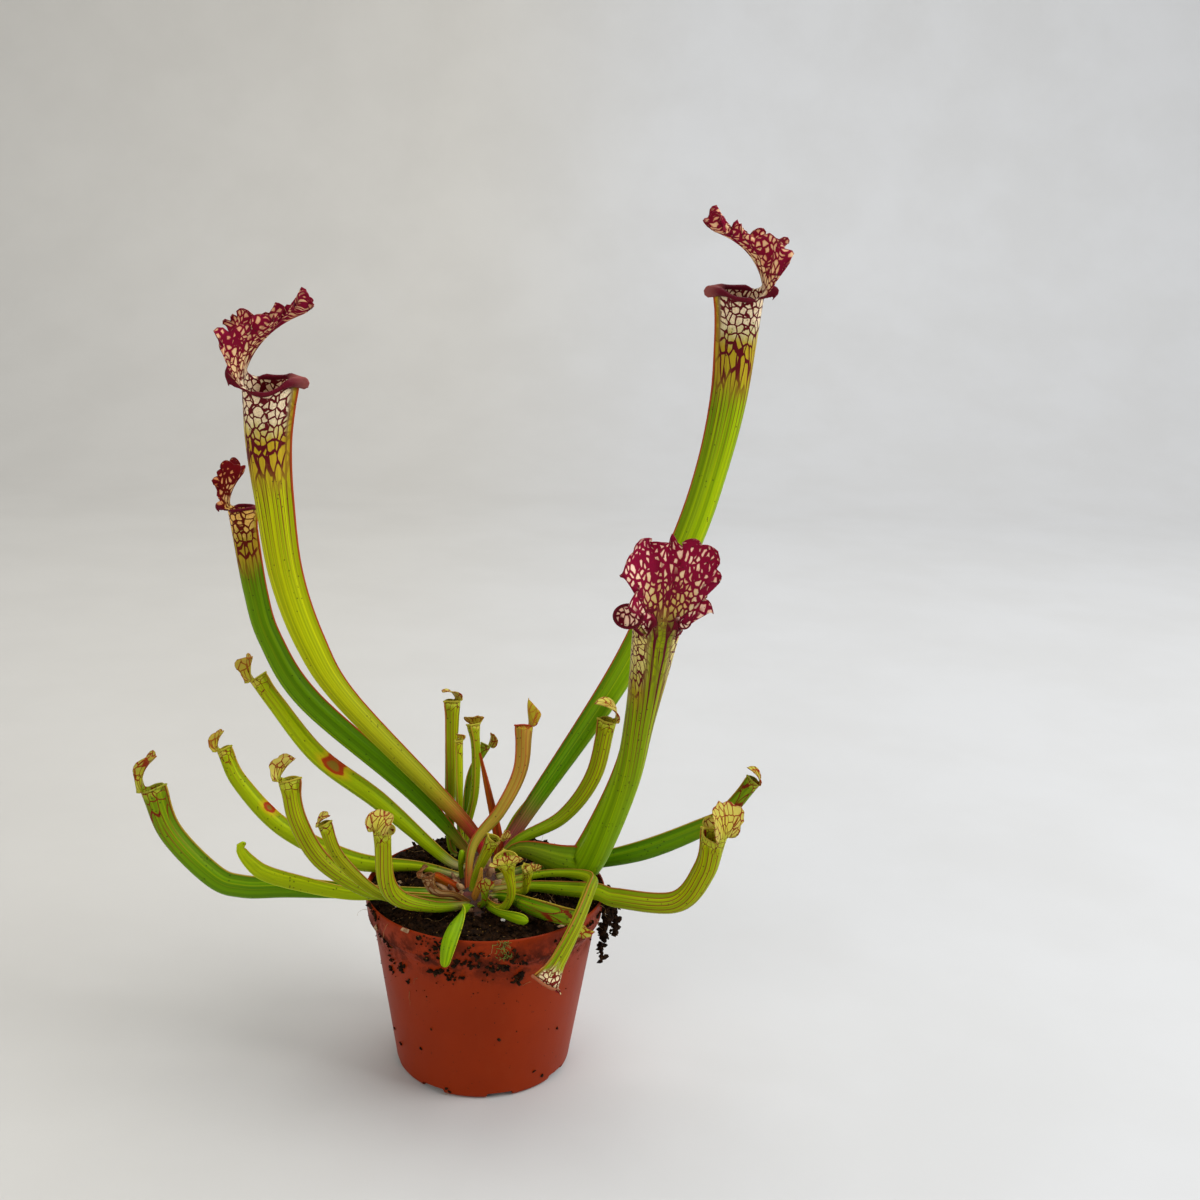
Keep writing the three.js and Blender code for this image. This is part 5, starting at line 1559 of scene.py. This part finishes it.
def add_lights(scene):
    for name, spot, size, power, colour in LIGHTS:
        light = bpy.data.lights.new(name, "AREA")
        light.size, light.energy, light.color = size, power, colour
        lamp = bpy.data.objects.new(name, light)
        lamp.location = spot
        lamp.rotation_euler = (LIT_POINT - Vector(spot)).to_track_quat("-Z", "Y").to_euler()
        scene.collection.objects.link(lamp)
    world = bpy.data.worlds.new("studio")
    world.use_nodes = True
    background = world.node_tree.nodes["Background"].inputs
    background["Color"].default_value = ROOM_LIGHT
    background["Strength"].default_value = ROOM_STRENGTH
    scene.world = world


def add_camera(scene):
    camera = bpy.data.objects.new("camera", bpy.data.cameras.new("camera"))
    camera.data.lens, camera.data.sensor_width = LENS, SENSOR_WIDTH
    camera.data.clip_start = NEAREST
    camera.matrix_world = (
        Matrix.Translation(CAMERA_PLACE)
        @ Matrix.Rotation(CAMERA_TILT, 4, "X") @ Matrix.Rotation(CAMERA_ROLL, 4, "Z"))
    scene.collection.objects.link(camera)
    scene.camera = camera


# ---------------------------------------------------------------- what a user would change


class PlantSizes(bpy.types.PropertyGroup):
    crumb: FloatProperty(
        name="Crumb", description="Largest peat crumb, half its width", default=0.0017,
        min=0.0003, max=0.004, unit="LENGTH")
    soil_crumbs: IntProperty(
        name="Soil crumbs", description="How many loose crumbs lie on the peat", default=2800, min=0)
    fibres: IntProperty(name="Fibres", description="Dry root fibres on the peat", default=70, min=0)
    perlite: IntProperty(name="Perlite", description="White grains on the peat", default=12, min=0)


class PlantColours(bpy.types.PropertyGroup):
    pot: FloatVectorProperty(
        name="Pot", description="Colour of the pot's plastic", subtype="COLOR", size=3,
        default=rgb("8c2a02"), min=0, max=1)
    peat: FloatVectorProperty(
        name="Peat", description="Colour of damp peat", subtype="COLOR", size=3,
        default=rgb("3c2410"), min=0, max=1)
    floor: FloatVectorProperty(
        name="Floor", description="Colour of the floor and the backdrop", subtype="COLOR", size=3,
        default=rgb("cecdca"), min=0, max=1)


# ---------------------------------------------------------------- operators


class PLANT_OT_materials(bpy.types.Operator):
    """Makes the shared node groups and all materials"""

    bl_idname = "plant.materials"
    bl_label = "Materials"

    def execute(self, context):
        colours = context.scene.plant_colours
        pot, damp, floor = (tuple(colour) for colour in (colours.pot, colours.peat, colours.floor))
        speckle_group()
        pitcher_group()
        for look, values in LOOKS.items():
            leaf_material("leaf " + look, values)
        material(
            "pot plastic", lambda tree: plastic(tree, pot), bump=0.25, reach=0.0003, Specular_IOR_Level=0.1)
        material("peat", lambda tree: peat(tree, damp), bump=0.9, reach=0.0008, Specular_IOR_Level=0.08)
        material("rhizome", rhizome, bump=0.8, reach=0.0008)
        material("perlite", lambda tree: grainy(tree, "a8a294", "efece2", 1.2), bump=0.6)
        material("bark", lambda tree: grainy(tree, "7a5636", "c2a27a", 0.5), bump=0.5)
        material("fibre", lambda tree: grainy(tree, "5c3a1e", "b48a4c", 0.3), bump=0.2)
        material("moss", lambda tree: grainy(tree, "3c4c10", "7c8c28", 0.8), bump=0.4)
        material("sheath", lambda tree: grainy(tree, "6a3420", "c29a6a", 0.22), bump=0.5)
        material("stage floor", lambda tree: backdrop(tree, floor), bump=0.1, reach=0.0005)
        return {"FINISHED"}


class PLANT_OT_stage(bpy.types.Operator):
    """Adds the floor with its curved backdrop, the studio lights and the camera"""

    bl_idname = "plant.stage"
    bl_label = "Stage, lights and camera"

    def execute(self, context):
        add_backdrop(context.scene)
        add_lights(context.scene)
        add_camera(context.scene)
        context.scene.view_settings.view_transform = "Standard"
        return {"FINISHED"}


class PLANT_OT_pot(bpy.types.Operator):
    """Adds the nursery pot with its sloping collar and drain slots"""

    bl_idname = "plant.pot"
    bl_label = "Pot"

    def execute(self, context):
        bm = bmesh.new()
        outline = [(0, 0)]
        outline += [
            (BASE_FLAT + BASE_BEND * math.sin(a), BASE_ROUND * (1 - math.cos(a)))
            for a in (math.radians(15 * k) for k in range(7))
        ]
        rise = WALL_TOP[1] - BASE_ROUND
        outline += [
            (WALL_FOOT + (WALL_TOP[0] - WALL_FOOT) * k / 6, BASE_ROUND + rise * k / 6) for k in range(1, 6)]
        outline += [*POT_COLLAR, *POT_RIM, *POT_INSIDE]
        chain = [bm.verts.new((radius, 0, height)) for radius, height in outline]
        edges = [bm.edges.new(pair) for pair in zip(chain, chain[1:])]
        bmesh.ops.spin(
            bm, geom=chain + edges, cent=(0, 0, 0), axis=(0, 0, 1), angle=math.tau, steps=POT_STEPS,
            use_merge=True)
        bmesh.ops.remove_doubles(bm, verts=bm.verts, dist=1e-3)
        pot = add_piece("pot_shell", bm, "pot plastic", "pot")

        slots = bmesh.new()
        for i in range(DRAIN_SLOTS):
            made = bmesh.ops.create_cube(slots, size=1.0)["verts"]
            bmesh.ops.scale(slots, vec=DRAIN_CUT, verts=made)
            turn = Matrix.Rotation((i + DRAIN_TURN) * math.tau / DRAIN_SLOTS, 4, "Z")
            bmesh.ops.transform(slots, matrix=turn @ Matrix.Translation((WALL_FOOT, 0, 0)), verts=made)
        bmesh.ops.bevel(
            slots, geom=slots.edges[:], offset=DRAIN_ROUND, segments=3, profile=0.5, affect="EDGES",
            material=-1)
        bmesh.ops.scale(slots, vec=(MM,) * 3, verts=slots.verts)
        mesh = bpy.data.meshes.new("slots")
        slots.to_mesh(mesh)
        slots.free()
        cutter = bpy.data.objects.new("slots", mesh)
        context.scene.collection.objects.link(cutter)
        cut = pot.modifiers.new("slots", "BOOLEAN")
        cut.operation, cut.solver, cut.object = "DIFFERENCE", "EXACT", cutter
        graph = context.evaluated_depsgraph_get()
        whole = pot.data
        pot.data = bpy.data.meshes.new_from_object(pot.evaluated_get(graph))
        pot.modifiers.clear()
        bpy.data.objects.remove(cutter)
        bpy.data.meshes.remove(mesh)
        bpy.data.meshes.remove(whole)
        pot.data.shade_smooth()
        pot.data.set_sharp_from_angle(angle=math.radians(40))
        return {"FINISHED"}


class PLANT_OT_soil(bpy.types.Operator):
    """Adds the peat that fills the pot, with its crumbly top"""

    bl_idname = "plant.soil"
    bl_label = "Peat"

    def execute(self, context):
        bm = bmesh.new()
        bmesh.ops.create_circle(bm, cap_ends=True, radius=1.0, segments=SOIL_CORNERS)
        bm.faces.ensure_lookup_table()
        cap = bm.faces[0]
        top = [(SOIL_RADIUS * (1 - k / SOIL_RINGS), None) for k in range(SOIL_RINGS)]
        for i, (radius, height) in enumerate([*SOIL_SIDE, *top]):
            if i:
                cap = next_ring(bm, cap, i == 1)
            for k, vert in enumerate(cap.verts):
                angle = math.tau * k / SOIL_CORNERS
                x, y = radius * math.cos(angle), radius * math.sin(angle)
                vert.co = (x, y, soil_top(x, y) if height is None else height)
        add_piece("soil_peat", bm, "peat", "soil")
        return {"FINISHED"}


class PLANT_OT_crown(bpy.types.Operator):
    """Adds the rhizome with the papery sheaths of old leaves"""

    bl_idname = "plant.crown"
    bl_label = "Crown"

    def execute(self, context):
        bm = bmesh.new()
        for x, y, z, rx, ry, rz in CROWN_LUMPS:
            made = bmesh.ops.create_icosphere(bm, subdivisions=5, radius=1.0)["verts"]
            bmesh.ops.scale(bm, vec=(rx, ry, rz), verts=made)
            bmesh.ops.translate(bm, vec=(x, y, z), verts=made)
        for vert in bm.verts:
            out = (vert.co - CROWN_MIDDLE).normalized()
            vert.co += out * (0.9 * noise.fractal(vert.co * 0.2, 1.0, 2.0, 4) - 0.6)
        add_piece("crown_rhizome", bm, "rhizome", "crown")

        rng = random.Random(11)
        form = {**PLAIN_FORM, "flat": 1.0, "step": 1.6, "neck_steps": 6, "side_steps": 3, "plump": 0.8}
        sheaths = bmesh.new()
        for _ in range(SHEATHS):
            x, y = rng.uniform(-15, 8), rng.uniform(-30, 32)
            foot = Vector((x, y, soil_top(x, y) + rng.uniform(-1, 4)))
            lean = Vector((x + 4, y * 0.6, rng.uniform(6, 22))).normalized()
            length = rng.uniform(4, 13)
            side = lean.cross(Vector((0, 0, 1))).normalized()
            stations = [
                (*(foot + lean * length * t + side * rng.uniform(-1, 1) * t), width)
                for t, width in ((0, 1.6), (0.35, 2.1), (0.7, 1.5), (1, 0.4))
            ]
            facing = math.degrees(math.atan2(lean.y, lean.x))
            back = (facing, facing + rng.uniform(-40, 40))
            join_into(sheaths, plain_leaf(Run("sheath", stations, back, **form)))
        add_piece("crown_sheaths", sheaths, "sheath")
        return {"FINISHED"}


class PLANT_OT_tall_pitchers(bpy.types.Operator):
    """Adds the four large pitchers with ruffled hoods"""

    bl_idname = "plant.tall_pitchers"
    bl_label = "Tall pitchers"

    def execute(self, context):
        for row in TALL_LEAVES:
            add_leaf(pitcher, TALL_FORM, *row)
        return {"FINISHED"}


class PLANT_OT_small_pitchers(bpy.types.Operator):
    """Adds the smaller pitchers round them"""

    bl_idname = "plant.small_pitchers"
    bl_label = "Small pitchers"

    def execute(self, context):
        for row in SMALL_LEAVES:
            add_leaf(pitcher, SMALL_FORM, *row)
        return {"FINISHED"}


class PLANT_OT_plain_leaves(bpy.types.Operator):
    """Adds the leaves that carry no open pitcher"""

    bl_idname = "plant.plain_leaves"
    bl_label = "Plain leaves"

    def execute(self, context):
        for name, stations, back, flat in PLAIN_LEAVES:
            add_leaf(plain_leaf, {**PLAIN_FORM, "flat": flat}, name, stations, back)
        return {"FINISHED"}


class PLANT_OT_dressing(bpy.types.Operator):
    """Adds peat crumbs, perlite, bark, root fibres and moss on the peat and the pot"""

    bl_idname = "plant.dressing"
    bl_label = "Crumbs, fibres and moss"

    def execute(self, context):
        sizes = context.scene.plant_sizes
        rng = random.Random(5)
        grains = crumb_shapes(3)
        add_soil_crumbs(rng, grains, sizes.soil_crumbs, sizes.crumb / MM)
        add_pot_crumbs(rng, grains)
        add_perlite(rng, sizes.perlite)
        add_bark(rng)
        add_root_fibres(rng, sizes.fibres)
        add_moss(rng)
        add_hanging_clump(rng, grains)
        return {"FINISHED"}


class PLANT_PT_panel(bpy.types.Panel):
    bl_idname = "PLANT_PT_panel"
    bl_label = "Pitcher plant"
    bl_space_type = "VIEW_3D"
    bl_region_type = "UI"
    bl_category = "Pitcher plant"

    def draw(self, context):
        for group in (context.scene.plant_sizes, context.scene.plant_colours):
            for name in group.__annotations__:
                self.layout.prop(group, name)
        for step in STEPS:
            self.layout.operator(step.bl_idname)


STEPS = (
    PLANT_OT_materials, PLANT_OT_stage, PLANT_OT_pot, PLANT_OT_soil, PLANT_OT_crown,
    PLANT_OT_tall_pitchers, PLANT_OT_small_pitchers, PLANT_OT_plain_leaves, PLANT_OT_dressing,
)
CLASSES = (PlantSizes, PlantColours, *STEPS, PLANT_PT_panel)


def register():
    for cls in CLASSES:
        bpy.utils.register_class(cls)
    bpy.types.Scene.plant_sizes = PointerProperty(type=PlantSizes)
    bpy.types.Scene.plant_colours = PointerProperty(type=PlantColours)


def unregister():
    del bpy.types.Scene.plant_sizes
    del bpy.types.Scene.plant_colours
    for cls in reversed(CLASSES):
        bpy.utils.unregister_class(cls)


def main():
    register()
    for step in STEPS:
        done = getattr(bpy.ops.plant, step.bl_idname.split(".")[1])()
        if done != {"FINISHED"}:
            raise RuntimeError(f"{step.bl_label} did not finish")


if __name__ == "__main__":
    main()
